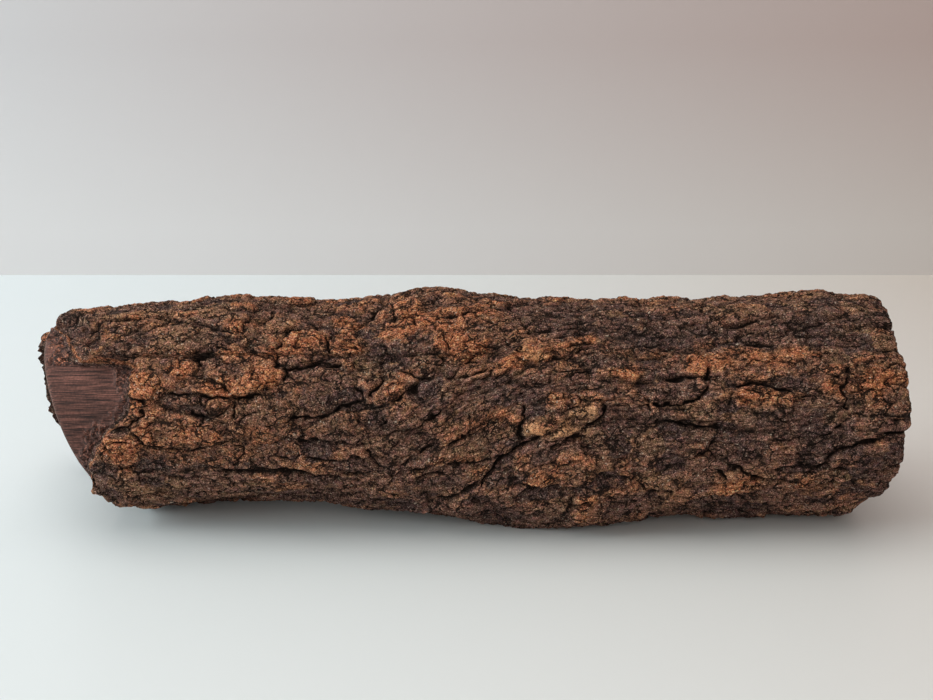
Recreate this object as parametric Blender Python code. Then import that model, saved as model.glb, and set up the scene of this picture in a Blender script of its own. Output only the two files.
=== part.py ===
"""A short length of tree trunk, lying on its side with its rough bark still on.

The trunk grew as one piece and is one solid. Its left end is sawn on the slant: in front the bark has
broken away there and bares the wood, and behind a tongue of bark stands out past the cut. The right end
is sawn square. Metres, +Z up, +X along the trunk; the origin is on the ground under its middle.

A place on the trunk is given by x, its distance along the axis, and by an angle around the axis that is
0 at the front (-Y), 90 degrees on top, 180 at the back and -90 underneath.
"""

import bmesh
import bpy
import numpy as np
from mathutils import Vector

MM = 0.001

# Overall form
AXIS_HEIGHT = 50.4 * MM
BARK_RADIUS = 49.3 * MM
BARK_RADIUS_GROWTH = 0.005  # the trunk is a little thicker to the right
WOOD_RADIUS = 38.5 * MM
WOOD_EDGE = 1.0 * MM  # the cut's rim is this much smaller than the wood behind it
WOOD_FLAT = (95, 2.4, 42)  # the wood is flatter on top: degrees around, mm, spread in degrees
NOMINAL_GIRTH = 2 * np.pi * BARK_RADIUS

# The slanting cut at the left end and the square one at the right: x on the axis, and slopes over y and z
LEFT_CUT = (-169.4 * MM, -0.11, -0.31)
RIGHT_CUT = (197.5 * MM, 0.0, 0.015)

# How far the bark runs at each end: (degrees around, millimetres along), once round from underneath
LEFT_BARK_END = (
    (-90, -145), (-66, -147), (-50, -153), (-38, -156), (-20, -154), (-6, -148), (4, -143), (14, -133),
    (41, -132), (45, -137), (47, -158), (60, -163), (70, -167), (78, -174), (90, -177), (106, -178),
    (124, -178), (138, -183), (146, -189), (151, -200), (170, -200), (190, -200), (206, -198),
    (220, -190), (232, -178), (246, -158),
)
# The same for the bark's outer layer, which ends short of the rest near the top of the left end
LEFT_LAYER_END = (
    (-90, -230), (36, -230), (44, -149), (70, -150), (74, -160), (84, -164), (96, -230), (269, -230),
)
OUTER_LAYER = 4.4 * MM
LAYER_EDGE = 3.0 * MM  # length of the slope down from the outer layer
RIGHT_BARK_END = (
    (-90, 192), (-50, 190), (-44, 191), (-40, 199), (-12, 202), (6, 201), (10, 203), (32, 203),
    (46, 202), (54, 200), (66, 201), (92, 203), (120, 203), (180, 200), (225, 201), (250, 196),
)
# How much the bark is worn down at its ends, and how far in the wear goes; at the left end, once round
LEFT_WEAR = (
    (-90, 4.0), (-60, 4.0), (0, 4.5), (60, 2.5), (84, 4.2), (125, 4.2), (148, 1.2), (205, 1.2), (230, 3.0),
    (269, 4.0),
)
LEFT_ROUNDING = 6.0 * MM
RIGHT_WEAR = 2.0 * MM
RIGHT_ROUNDING = 4.0 * MM

# Swellings: (x mm, degrees around, height mm, spread along mm, spread around in degrees)
SWELLINGS = (
    (-4, 98, 6.4, 22, 38),  # collar round a grown-over knot, on top
    (50, -58, 7.2, 42, 40),  # belly under the knot, which carries the weight
    (20, -60, 2.6, 20, 30),
    (84, -58, 1.2, 30, 34),
    (-84, -62, -5.6, 54, 34),
    (-150, -72, 2.2, 18, 30),
    (-42, 100, -1.4, 20, 30),
    (82, 100, -1.5, 26, 30),
    (-166, 95, -3.6, 26, 40),
    (-94, 104, 2.6, 18, 45),
    (176, 104, 3.2, 30, 50),
    (163, -66, 1.6, 38, 42),
    (-116, -96, 5.4, 32, 22),  # low point near the left end
    (158, -94, 2.6, 30, 24),  # low point near the right end
    (62, 186, 2.8, 45, 42),
    (-55, 170, 2.2, 38, 46),
    (54, 72, -1.8, 13, 11),  # hollow where a plate has come off
    (26, -47, -3.4, 9, 9),  # pit of a rotted twig
)

# Bark plates, which are longer along the trunk than around it
PLATE_LENGTH = 30.0 * MM
PLATES_AROUND = 17
PLATE_STEP = 1.5 * MM  # plates stand this much higher or lower than the mean
FURROW_DEPTH = 3.1 * MM
FURROW_SHARE = 0.34  # the part of a plate's half width that slopes down into the furrow
PLATE_SEED = 11

# Slow unevenness of the whole trunk
SWELL_LENGTH = 55.0 * MM
SWELLS_AROUND = 6
SWELL_HEIGHT = 1.0 * MM
SWELL_SEED = 5

# Round the knot the grain climbs to the right: x of the middle, half length, and how far it climbs
CLIMB_MIDDLE = 16.0 * MM
CLIMB_REACH = 48.0 * MM
CLIMB_RISE = 24.0 * MM
CLIMB_STEEPEST = np.radians(8)  # it climbs most at this angle, and not at all across from it

# Large splits in the bark: depth mm, then (x mm, degrees around) along the split
SPLITS = (
    (3.6, ((-116, 26), (-102, 23), (-86, 23), (-70, 32), (-52, 40), (-43, 41))),
    (3.4, ((-66, 63), (-69, 50), (-70, 32))),
    (3.2, ((-80, 66), (-74, 78))),
    (3.0, ((-60, 62), (-47, 70))),
    (3.6, ((-37, 66), (-28, 78), (-18, 90))),
    (3.4, ((-25, 39), (-24, 32), (-29, 24))),
    (3.0, ((-64, 13), (-52, 13), (-43, 17))),
    (4.2, ((14, -34), (24, -14), (34, -2), (46, 7))),
    (4.6, ((49, 1), (60, 7), (70, 14), (72, 20))),
    (3.0, ((1, -16), (16, -9), (27, -7))),
    (3.2, ((-17, -15), (-10, -8), (-3, 0))),
    (3.0, ((36, 18), (36, 3))),
    (4.0, ((92, 19), (107, 20), (114, 27), (116, 39))),
    (3.0, ((91, 6), (104, 6), (105, 17))),
    (3.4, ((56, -38), (68, -31), (82, -26))),
    (3.2, ((76, -36), (90, -30), (102, -28))),
    (3.2, ((121, -12), (127, -20), (150, -22))),
    (3.8, ((150, 60), (176, 62), (199, 63))),
    (3.0, ((176, 38), (174, 28), (175, 18))),
    (3.2, ((162, -18), (168, -8), (184, 3), (200, 7))),
    (4.0, ((163, -40), (178, -42), (196, -43))),
    (3.0, ((-156, 72), (-141, 73), (-118, 73))),
    (3.2, ((-143, -25), (-126, -29))),
    (3.6, ((32, 88), (39, 68), (42, 56))),
)
SPLIT_HALF_WIDTH = 3.4 * MM

# Splits at the back and underneath, drawn at random along the grain
HIDDEN_SPLITS = 26
HIDDEN_SPLIT_SEED = 7
HIDDEN_X = (-135, 180)  # mm
HIDDEN_ANGLES = (118, 282)  # degrees
HIDDEN_ALONG = ((24, 46), (-14, 14))  # length mm, rise in degrees
HIDDEN_ACROSS = ((3, 8), (12, 20))
HIDDEN_BEND = 3  # degrees
HIDDEN_DEPTH = (2.8, 4.0)  # mm

# Rows and columns of the surface
COLUMNS = 62
BARK_ROWS = 74
BARK_END_ROWS = 2
WOOD_ROWS = 4
CUT_RINGS = (0.72, 0.42, 0.18)

BARK_COLOUR = (0.105, 0.052, 0.034, 1.0)
BARK_ROUGHNESS = 0.92


def lattice(i, j, seed):
    """A fixed pseudo-random number from 0 to 1 for each whole i and j."""
    n = (i * 374761393 + j * 668265263 + seed * 974634777) & 0xFFFFFFFF
    n = ((n ^ (n >> 13)) * 1274126177) & 0xFFFFFFFF
    return ((n ^ (n >> 16)) & 0xFFFFFF) / 0xFFFFFF


def noise(u, v, period, seed):
    """Smooth noise from -1 to 1 that repeats in v after a whole period, to close round the trunk."""
    i, j = np.floor(u).astype(np.int64), np.floor(v).astype(np.int64)
    f, g = u - i, v - j
    f, g = f * f * (3 - 2 * f), g * g * (3 - 2 * g)
    low, high = j % period, (j + 1) % period
    left = lattice(i, low, seed) * (1 - g) + lattice(i, high, seed) * g
    right = lattice(i + 1, low, seed) * (1 - g) + lattice(i + 1, high, seed) * g
    return 2 * (left * (1 - f) + right * f) - 1


def plates(u, v, period, seed):
    """The irregular cells that bark cracks into.

    Gives 0 at a cell's edge rising to 1 well inside it, and the cell's own number from 0 to 1.
    """
    i, j = np.floor(u).astype(np.int64), np.floor(v).astype(np.int64)
    nearest, second, own = np.full(u.shape, 9.0), np.full(u.shape, 9.0), np.zeros(u.shape)
    for di in (-1, 0, 1):
        for dj in (-1, 0, 1):
            ci, cj = i + di, (j + dj) % period
            du = ci + 0.1 + 0.8 * lattice(ci, cj, seed) - u
            dv = j + dj + 0.1 + 0.8 * lattice(ci, cj, seed + 1) - v
            distance = np.hypot(du, dv)
            closer = distance < nearest
            second = np.where(closer, nearest, np.minimum(second, distance))
            own = np.where(closer, lattice(ci, cj, seed + 2), own)
            nearest = np.where(closer, distance, nearest)
    return np.clip((second - nearest) / FURROW_SHARE, 0, 1), own


def smooth(t):
    """An even step from 0 to 1 as t goes from 0 to 1."""
    t = np.clip(t, 0, 1)
    return t * t * (3 - 2 * t)


def turn_between(angle, middle):
    """The angle from middle to angle, the short way round."""
    return (angle - middle + np.pi) % (2 * np.pi) - np.pi


def along_grain(x, angle):
    """Distance around the trunk, in metres, followed along the grain, which climbs past the knot."""
    front = 0.5 + 0.5 * np.cos(turn_between(angle, CLIMB_STEEPEST))
    climb = CLIMB_RISE * smooth((x - CLIMB_MIDDLE + CLIMB_REACH) / (2 * CLIMB_REACH)) * front
    return angle / (2 * np.pi) * NOMINAL_GIRTH - climb


def distance_to_split(x, angle, points):
    """Distance over the bark to a split through these points."""
    best = np.full(x.shape, 1.0)
    for (x0, a0), (x1, a1) in zip(points, points[1:]):
        start = np.array((x0 * MM, np.radians(a0) * BARK_RADIUS))
        run = np.array((x1 * MM, np.radians(a1) * BARK_RADIUS)) - start
        across = turn_between(angle, np.radians(a0)) * BARK_RADIUS
        along = x - start[0]
        t = np.clip((along * run[0] + across * run[1]) / (run @ run), 0, 1)
        best = np.minimum(best, np.hypot(along - t * run[0], across - t * run[1]))
    return best


def hidden_splits():
    """Splits along the grain, and every third one across it, for the back and the underside."""
    draw = np.random.default_rng(HIDDEN_SPLIT_SEED)
    found = []
    for number in range(HIDDEN_SPLITS):
        length_range, rise_range = HIDDEN_ACROSS if number % 3 == 0 else HIDDEN_ALONG
        x, a = draw.uniform(*HIDDEN_X), draw.uniform(*HIDDEN_ANGLES)
        length, rise = draw.uniform(*length_range), draw.uniform(*rise_range)
        middle = (x + length / 2, a + rise / 2 + draw.uniform(-HIDDEN_BEND, HIDDEN_BEND))
        found.append((draw.uniform(*HIDDEN_DEPTH), ((x, a), middle, (x + length, a + rise))))
    return found


def once_round(angle, pairs):
    """Metres at an angle, read between (degrees, millimetres) pairs that go once round."""
    degrees, places = np.array(pairs, float).T
    start = degrees[0]
    return np.interp((np.degrees(angle) - start) % 360, [*(degrees - start), 360], [*places, places[0]]) * MM


def bark_surface(x, angle, splits):
    """Radius of the bark's outside at x and angle."""
    radius = BARK_RADIUS + BARK_RADIUS_GROWTH * x
    for x0, a0, height, along, around in SWELLINGS:
        turn = turn_between(angle, np.radians(a0)) / np.radians(around)
        radius = radius + height * MM * np.exp(-(((x - x0 * MM) / (along * MM)) ** 2) - turn**2)
    girth = along_grain(x, angle) / NOMINAL_GIRTH
    radius = radius + SWELL_HEIGHT * noise(x / SWELL_LENGTH, girth * SWELLS_AROUND, SWELLS_AROUND, SWELL_SEED)
    inside, own = plates(x / PLATE_LENGTH, girth * PLATES_AROUND, PLATES_AROUND, PLATE_SEED)
    radius = radius + PLATE_STEP * (2 * own - 1) * inside - FURROW_DEPTH * (1 - smooth(inside))
    for depth, points in splits:
        gap = distance_to_split(x, angle, points)
        radius = radius - depth * MM * (1 - smooth(gap / SPLIT_HALF_WIDTH))
    return radius


def wood_radius(angle):
    """Radius of the wood at an angle."""
    degrees, flat, spread = WOOD_FLAT
    return WOOD_RADIUS - flat * MM * np.exp(-((turn_between(angle, np.radians(degrees)) / np.radians(spread)) ** 2))


def cut_plane(radius, angle, cut):
    """x of a sawn end at that radius and angle."""
    x0, over_y, over_z = cut
    return x0 - over_y * radius * np.cos(angle) + over_z * radius * np.sin(angle)


def trunk_rings():
    """Every ring of the surface as (x, radius), from the left cut's middle to the right cut's middle."""
    angle = np.arange(COLUMNS) / COLUMNS * 2 * np.pi
    splits = [*SPLITS, *hidden_splits()]
    left, right = once_round(angle, LEFT_BARK_END), once_round(angle, RIGHT_BARK_END)
    layer_end, wear = once_round(angle, LEFT_LAYER_END), once_round(angle, LEFT_WEAR)
    wood = wood_radius(angle)
    rim = wood - WOOD_EDGE
    bark, ends = [], []
    for row in range(BARK_ROWS + 1):
        x = left + (right - left) * row / BARK_ROWS
        worn_left = wear * np.exp(-(x - left) / LEFT_ROUNDING)
        worn_left = worn_left + OUTER_LAYER * smooth((layer_end - x) / LAYER_EDGE + 0.5)
        worn_right = RIGHT_WEAR * np.exp(-(right - x) / RIGHT_ROUNDING)
        bark.append((x, bark_surface(x, angle, splits) - worn_left - worn_right))
    for edge, cut, (x_edge, radius_edge) in ((left, LEFT_CUT, bark[0]), (right, RIGHT_CUT, bark[-1])):
        x_cut = cut_plane(rim, angle, cut)
        rings = []
        for row in range(1, BARK_END_ROWS + 1):
            rings.append((edge, radius_edge + (wood - radius_edge) * row / BARK_END_ROWS))
        for row in range(1, WOOD_ROWS + 1):
            share = row / WOOD_ROWS
            rings.append((edge + (x_cut - edge) * share, wood - WOOD_EDGE * share))
        for share in CUT_RINGS:
            rings.append((cut_plane(rim * share, angle, cut), rim * share))
        ends.append(rings)
    return angle, ends[0][::-1] + bark + ends[1]


def ring_points(angle, x, radius):
    """A ring's corners, on the ground: what would reach below it is pressed flat."""
    y = -radius * np.cos(angle)
    z = np.maximum(AXIS_HEIGHT + radius * np.sin(angle), 0.0)
    return np.stack([x, y, z], axis=1)


def extruded(form, edges, points):
    """The edges of the next ring, extruded from these and set on its points."""
    new = bmesh.ops.extrude_edge_only(form, edges=edges)["geom"]
    corners = [g for g in new if isinstance(g, bmesh.types.BMVert)]
    for corner in corners:
        corner.co = points[corner[form.verts.layers.int["column"]]]
    return [g for g in new if isinstance(g, bmesh.types.BMEdge)]


def closed_at(form, edges, centre):
    """Closes a ring's opening with one more extrusion, drawn in to a point."""
    new = bmesh.ops.extrude_edge_only(form, edges=edges)["geom"]
    bmesh.ops.pointmerge(form, verts=[g for g in new if isinstance(g, bmesh.types.BMVert)], merge_co=centre)


def build_trunk():
    """The trunk's mesh: one ring of edges, extruded from end to end and drawn in to a point at each."""
    angle, rings = trunk_rings()
    form = bmesh.new()
    column = form.verts.layers.int.new("column")
    first = []
    for number, point in enumerate(ring_points(angle, *rings[0])):
        corner = form.verts.new(point)
        corner[column] = number
        first.append(corner)
    start = [form.edges.new((first[n - 1], first[n])) for n in range(COLUMNS)]
    edges = start
    for x, radius in rings[1:]:
        edges = extruded(form, edges, ring_points(angle, x, radius))
    closed_at(form, edges, Vector((RIGHT_CUT[0], 0, AXIS_HEIGHT)))
    closed_at(form, start, Vector((LEFT_CUT[0], 0, AXIS_HEIGHT)))
    bmesh.ops.triangulate(form, faces=form.faces[:], quad_method="SHORT_EDGE")
    bmesh.ops.recalc_face_normals(form, faces=form.faces[:])
    mesh = bpy.data.meshes.new("trunk")
    form.to_mesh(mesh)
    form.free()
    return mesh


def bark_material():
    """Dry brown bark."""
    material = bpy.data.materials.new("bark")
    material.use_nodes = True
    shader = material.node_tree.nodes["Principled BSDF"]
    shader.inputs["Base Color"].default_value = BARK_COLOUR
    shader.inputs["Roughness"].default_value = BARK_ROUGHNESS
    shader.inputs["Metallic"].default_value = 0.0
    return material


def main():
    """Clears the scene and puts the trunk in it."""
    for old in list(bpy.data.objects):
        bpy.data.objects.remove(old)
    mesh = build_trunk()
    mesh.materials.append(bark_material())
    mesh.shade_smooth()
    mesh.set_sharp_from_angle(angle=np.radians(50))
    trunk = bpy.data.objects.new("trunk", mesh)
    bpy.context.scene.collection.objects.link(trunk)


main()
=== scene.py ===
"""Dresses a short length of tree trunk: cracked cork bark over purple-brown wood, lying on a pale table.

The trunk lies along X. A place on it is given by x, its distance along the axis, and by an angle around
the axis that is 0 at the front (-Y), 90 degrees on top, 180 at the back and -90 underneath.
"""

import logging
import math
from dataclasses import dataclass, field
from enum import Enum

import bpy
import numpy as np
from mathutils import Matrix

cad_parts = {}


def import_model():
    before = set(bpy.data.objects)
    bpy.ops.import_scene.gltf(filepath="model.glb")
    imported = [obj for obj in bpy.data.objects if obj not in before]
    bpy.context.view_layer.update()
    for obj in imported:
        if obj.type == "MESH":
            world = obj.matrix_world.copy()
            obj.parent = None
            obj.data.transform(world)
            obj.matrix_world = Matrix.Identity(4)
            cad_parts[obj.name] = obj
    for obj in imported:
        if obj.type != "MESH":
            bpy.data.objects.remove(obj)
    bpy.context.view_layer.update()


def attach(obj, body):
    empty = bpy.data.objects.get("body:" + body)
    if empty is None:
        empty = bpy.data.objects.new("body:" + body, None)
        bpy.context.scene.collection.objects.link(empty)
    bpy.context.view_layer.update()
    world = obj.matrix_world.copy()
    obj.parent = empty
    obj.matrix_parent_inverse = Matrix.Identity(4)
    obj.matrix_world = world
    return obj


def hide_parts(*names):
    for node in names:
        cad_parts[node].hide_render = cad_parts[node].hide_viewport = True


LOG = logging.getLogger("trunk")
Array = np.ndarray
Material = bpy.types.Material
Socket = bpy.types.NodeSocket
Tree = bpy.types.NodeTree
Masks = dict[str, np.ndarray]  # values for each corner, by name
Line = tuple[tuple[float, float], ...]  # a line over the bark: x in mm and degrees around
Pairs = tuple[tuple[float, float], ...]  # millimetres at some angles once round: degrees and mm
MM = 0.001
FULL_TURN = 2 * math.pi
BODY = "root"
NODE = "trunk"


class Side(Enum):
    """An end of the trunk."""

    LEFT = -1
    RIGHT = 1


def smooth(share: Array) -> Array:
    """An even step from 0 to 1.

    Args:
        share: how far along the step, from 0 to 1; what lies outside is held at the ends.

    Returns:
        The step's height.
    """
    share = np.clip(share, 0, 1)
    return share * share * (3 - 2 * share)


def turn_between(angle: Array, middle: float) -> Array:
    """The angle from middle to angle, the short way round, in radians."""
    return (angle - middle + math.pi) % FULL_TURN - math.pi


def lattice(i: Array, j: Array, seed: int) -> Array:
    """A fixed pseudo-random number from 0 to 1 for each whole i and j.

    Args:
        i: which column of the lattice.
        j: which row.
        seed: which pattern.

    Returns:
        The numbers.
    """
    n = (i * 374761393 + j * 668265263 + seed * 974634777) & 0xFFFFFFFF
    n = ((n ^ (n >> 13)) * 1274126177) & 0xFFFFFFFF
    return (((n ^ (n >> 16)) & 0xFFFFFF) / 0xFFFFFF).astype(np.float32)


def noise(u: Array, v: Array, period: int, seed: int) -> Array:
    """Smooth noise that closes round the trunk.

    Args:
        u: place along the trunk, in waves.
        v: place around the trunk, in waves.
        period: whole waves once round.
        seed: which pattern.

    Returns:
        Values from -1 to 1.
    """
    i, j = np.floor(u).astype(np.int64), np.floor(v).astype(np.int64)
    f, g = smooth(u - i), smooth(v - j)
    low, high = j % period, (j + 1) % period
    left = lattice(i, low, seed) * (1 - g) + lattice(i, high, seed) * g
    right = lattice(i + 1, low, seed) * (1 - g) + lattice(i + 1, high, seed) * g
    return 2 * (left * (1 - f) + right * f) - 1


def ring_noise(along: Array, turns: Array, waves: int, seed: int) -> Array:
    """Noise with that many waves once round; along is in waves and turns in whole turns."""
    return noise(along, turns * waves, waves, seed)


@dataclass
class Cells:
    """Irregular cells over the bark."""

    nearest: Array  # distance to the cell's middle, in cells
    gap: Array  # how much further the next cell's middle is
    edge: Array  # distance to the cell's edge, in millimetres
    lengthwise: Array  # 1 where that edge runs along the trunk, 0 where it runs round it
    own: Array  # the cell's own number, from 0 to 1
    lean: Array  # a slope across each cell, from about -1 to 1


def cells(u: Array, v: Array, period: int, seed: int, along: float, around: float) -> Cells:
    """Cracks the bark into irregular cells.

    Args:
        u: place along the trunk, in cells.
        v: place around the trunk, in cells.
        period: whole cells once round.
        seed: which pattern.
        along: a cell's length along the trunk, in millimetres.
        around: its length around the trunk, in millimetres.

    Returns:
        What each point needs to know of its cell.
    """
    i, j = np.floor(u).astype(np.int64), np.floor(v).astype(np.int64)
    far = np.full(u.shape, 9.0, np.float32)
    nearest, second, own = far, far.copy(), np.zeros(u.shape, np.float32)
    near_u, near_v = np.zeros(u.shape, np.float32), np.zeros(u.shape, np.float32)
    next_u, next_v = near_u.copy(), near_v.copy()
    for di in (-1, 0, 1):
        for dj in (-1, 0, 1):
            ci, cj = i + di, (j + dj) % period
            du = (ci + 0.1 + 0.8 * lattice(ci, cj, seed) - u).astype(np.float32)
            dv = (j + dj + 0.1 + 0.8 * lattice(ci, cj, seed + 1) - v).astype(np.float32)
            distance = np.hypot(du, dv)
            closer = distance < nearest
            next_best = ~closer & (distance < second)
            next_u = np.where(closer, near_u, np.where(next_best, du, next_u))
            next_v = np.where(closer, near_v, np.where(next_best, dv, next_v))
            second = np.where(closer, nearest, np.minimum(second, distance))
            near_u, near_v = np.where(closer, du, near_u), np.where(closer, dv, near_v)
            own = np.where(closer, lattice(ci, cj, seed + 2), own)
            nearest = np.where(closer, distance, nearest)
    across_u, across_v = next_u - near_u, next_v - near_v
    apart = np.hypot(across_u, across_v) + 1e-6
    across_u, across_v = across_u / apart, across_v / apart
    to_edge = (across_u * (near_u + next_u) + across_v * (near_v + next_v)) / 2
    per_mm = np.hypot(across_u / along, across_v / around)
    lean_turn = own * 2 * FULL_TURN
    lean = -(near_u * np.cos(lean_turn) + near_v * np.sin(lean_turn))
    return Cells(nearest, second - nearest, to_edge / per_mm, (across_v / around / per_mm) ** 2, own, lean)


@dataclass(frozen=True)
class Split:
    """A crack torn through the bark; the plate on its upper side may stand up."""

    depth: float  # mm
    places: Line
    half_width: float = 0.0  # mm; a broad split's width varies instead
    lift: float = 0.0  # mm


@dataclass(frozen=True)
class Spot:
    """A round or oval place on the bark where something is stronger."""

    x: float  # mm
    degrees: float
    along: float  # mm
    around: float  # mm
    strength: float


@dataclass
class TrunkForm:
    """The trunk's overall shape, in millimetres: the same form as the solid that it dresses."""

    axis_height: float = 50.4
    bark_radius: float = 49.3
    radius_growth: float = 0.005
    wood_radius: float = 38.5
    wood_edge: float = 1.0
    wood_flat: tuple[float, float, float] = (95, 2.4, 42)  # degrees, mm, spread in degrees
    left_cut: tuple[float, float, float] = (-169.4, -0.11, -0.31)
    right_cut: tuple[float, float, float] = (197.5, 0.0, 0.015)
    left_bark_end: Pairs = (
        (-90, -145), (-66, -147), (-50, -153), (-38, -156), (-20, -154), (-6, -148), (4, -143), (14, -133),
        (41, -132), (45, -137), (47, -158), (60, -163), (70, -167), (78, -174), (90, -177), (106, -178),
        (124, -178), (138, -183), (146, -189), (151, -200), (170, -200), (190, -200), (206, -198),
        (220, -190), (232, -178), (246, -158),
    )
    left_layer_end: Pairs = (
        (-90, -230), (36, -230), (44, -149), (70, -150), (74, -160), (84, -164), (96, -230), (269, -230),
    )
    left_wear: Pairs = (
        (-90, 4.0), (-60, 4.0), (-6, 2.6), (10, 2.0), (60, 2.0), (84, 4.2), (125, 4.2), (148, 1.2),
        (205, 1.2), (230, 3.0), (269, 4.0),
    )
    outer_layer: float = 4.4
    right_bark_end: Pairs = (
        (-90, 192), (-50, 190), (-44, 191), (-40, 199), (-12, 202), (6, 201), (10, 203), (32, 203),
        (46, 202), (54, 200), (66, 201), (92, 203), (120, 203), (180, 200), (225, 201), (250, 196),
    )
    swellings: tuple[tuple[float, float, float, float, float], ...] = (
        (-4, 98, 6.4, 22, 38),
        (50, -58, 7.2, 42, 40),
        (20, -60, 2.6, 20, 30),
        (84, -58, 1.2, 30, 34),
        (-84, -62, -5.6, 54, 34),
        (-150, -72, 2.2, 18, 30),
        (-42, 100, -1.4, 20, 30),
        (82, 100, -1.5, 26, 30),
        (-166, 95, -3.6, 26, 40),
        (-94, 104, 2.6, 18, 45),
        (176, 104, 3.2, 30, 50),
        (163, -66, 1.6, 38, 42),
        (-116, -96, 5.4, 32, 22),
        (158, -94, 2.6, 30, 24),
        (62, 186, 2.8, 45, 42),
        (-55, 170, 2.2, 38, 46),
        (54, 72, -1.8, 13, 11),
        (26, -47, -3.4, 9, 9),
    )
    climb_middle: float = 16.0
    climb_reach: float = 48.0
    climb_rise: float = 24.0
    climb_steepest: float = math.radians(8)

    @property
    def girth(self) -> float:
        """The way once round the bark, in millimetres."""
        return FULL_TURN * self.bark_radius

    def along_grain(self, x: Array, angle: Array) -> Array:
        """Distance around the trunk, in millimetres, along the grain, which climbs past the knot.

        Args:
            x: along the trunk, in millimetres.
            angle: around the axis, in radians.

        Returns:
            The distances.
        """
        front = 0.5 + 0.5 * np.cos(turn_between(angle, self.climb_steepest))
        climbed = smooth((x - self.climb_middle + self.climb_reach) / (2 * self.climb_reach))
        return angle / FULL_TURN * self.girth - self.climb_rise * climbed * front

    @staticmethod
    def once_round(angle: Array, pairs: Pairs) -> Array:
        """Millimetres at an angle, read between (degrees, millimetres) pairs that go once round.

        Args:
            angle: around the axis, in radians.
            pairs: degrees and millimetres, in order.

        Returns:
            The millimetres at each angle.
        """
        degrees, places = np.array(pairs, float).T
        start = degrees[0]
        turned = (np.degrees(angle) - start) % 360
        return np.interp(turned, [*(degrees - start), 360], [*places, places[0]])

    def end_of_bark(self, angle: Array, side: Side) -> Array:
        """x in millimetres of the bark's end at an angle, on that side."""
        return self.once_round(angle, self.left_bark_end if side is Side.LEFT else self.right_bark_end)

    def wood_at(self, angle: Array) -> Array:
        """The wood's radius at an angle, in millimetres: it is flatter on top.

        Args:
            angle: around the axis, in radians.

        Returns:
            The radius.
        """
        degrees, flat, spread = self.wood_flat
        turn = turn_between(angle, math.radians(degrees)) / math.radians(spread)
        return self.wood_radius - flat * np.exp(-(turn**2))

    def cut_plane(self, radius: Array, angle: Array, side: Side) -> Array:
        """x in millimetres of the sawn end at that radius and angle."""
        x0, over_y, over_z = self.left_cut if side is Side.LEFT else self.right_cut
        return x0 - over_y * radius * np.cos(angle) + over_z * radius * np.sin(angle)

    def body_radius(self, x: Array, angle: Array) -> Array:
        """The bark's mean radius with its swellings, in millimetres.

        Args:
            x: along the trunk, in millimetres.
            angle: around the axis, in radians.

        Returns:
            The radius.
        """
        radius = self.bark_radius + self.radius_growth * x
        for x0, degrees, height, along, around in self.swellings:
            turn = turn_between(angle, math.radians(degrees)) / math.radians(around)
            radius = radius + height * np.exp(-(((x - x0) / along) ** 2) - turn**2)
        return radius

    def points(self, x: Array, radius: Array, angle: Array) -> Array:
        """Corners in metres, on the ground: what would reach below it is pressed flat.

        Args:
            x: along the trunk, in millimetres.
            radius: from the axis, in millimetres.
            angle: around the axis, in radians.

        Returns:
            The corners' places, three numbers each.
        """
        y = -radius * np.cos(angle)
        z = np.maximum(self.axis_height + radius * np.sin(angle), 0.0)
        x, y, z = np.broadcast_arrays(x, y, z)
        return np.stack([x, y, z], axis=-1) * MM


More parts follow.
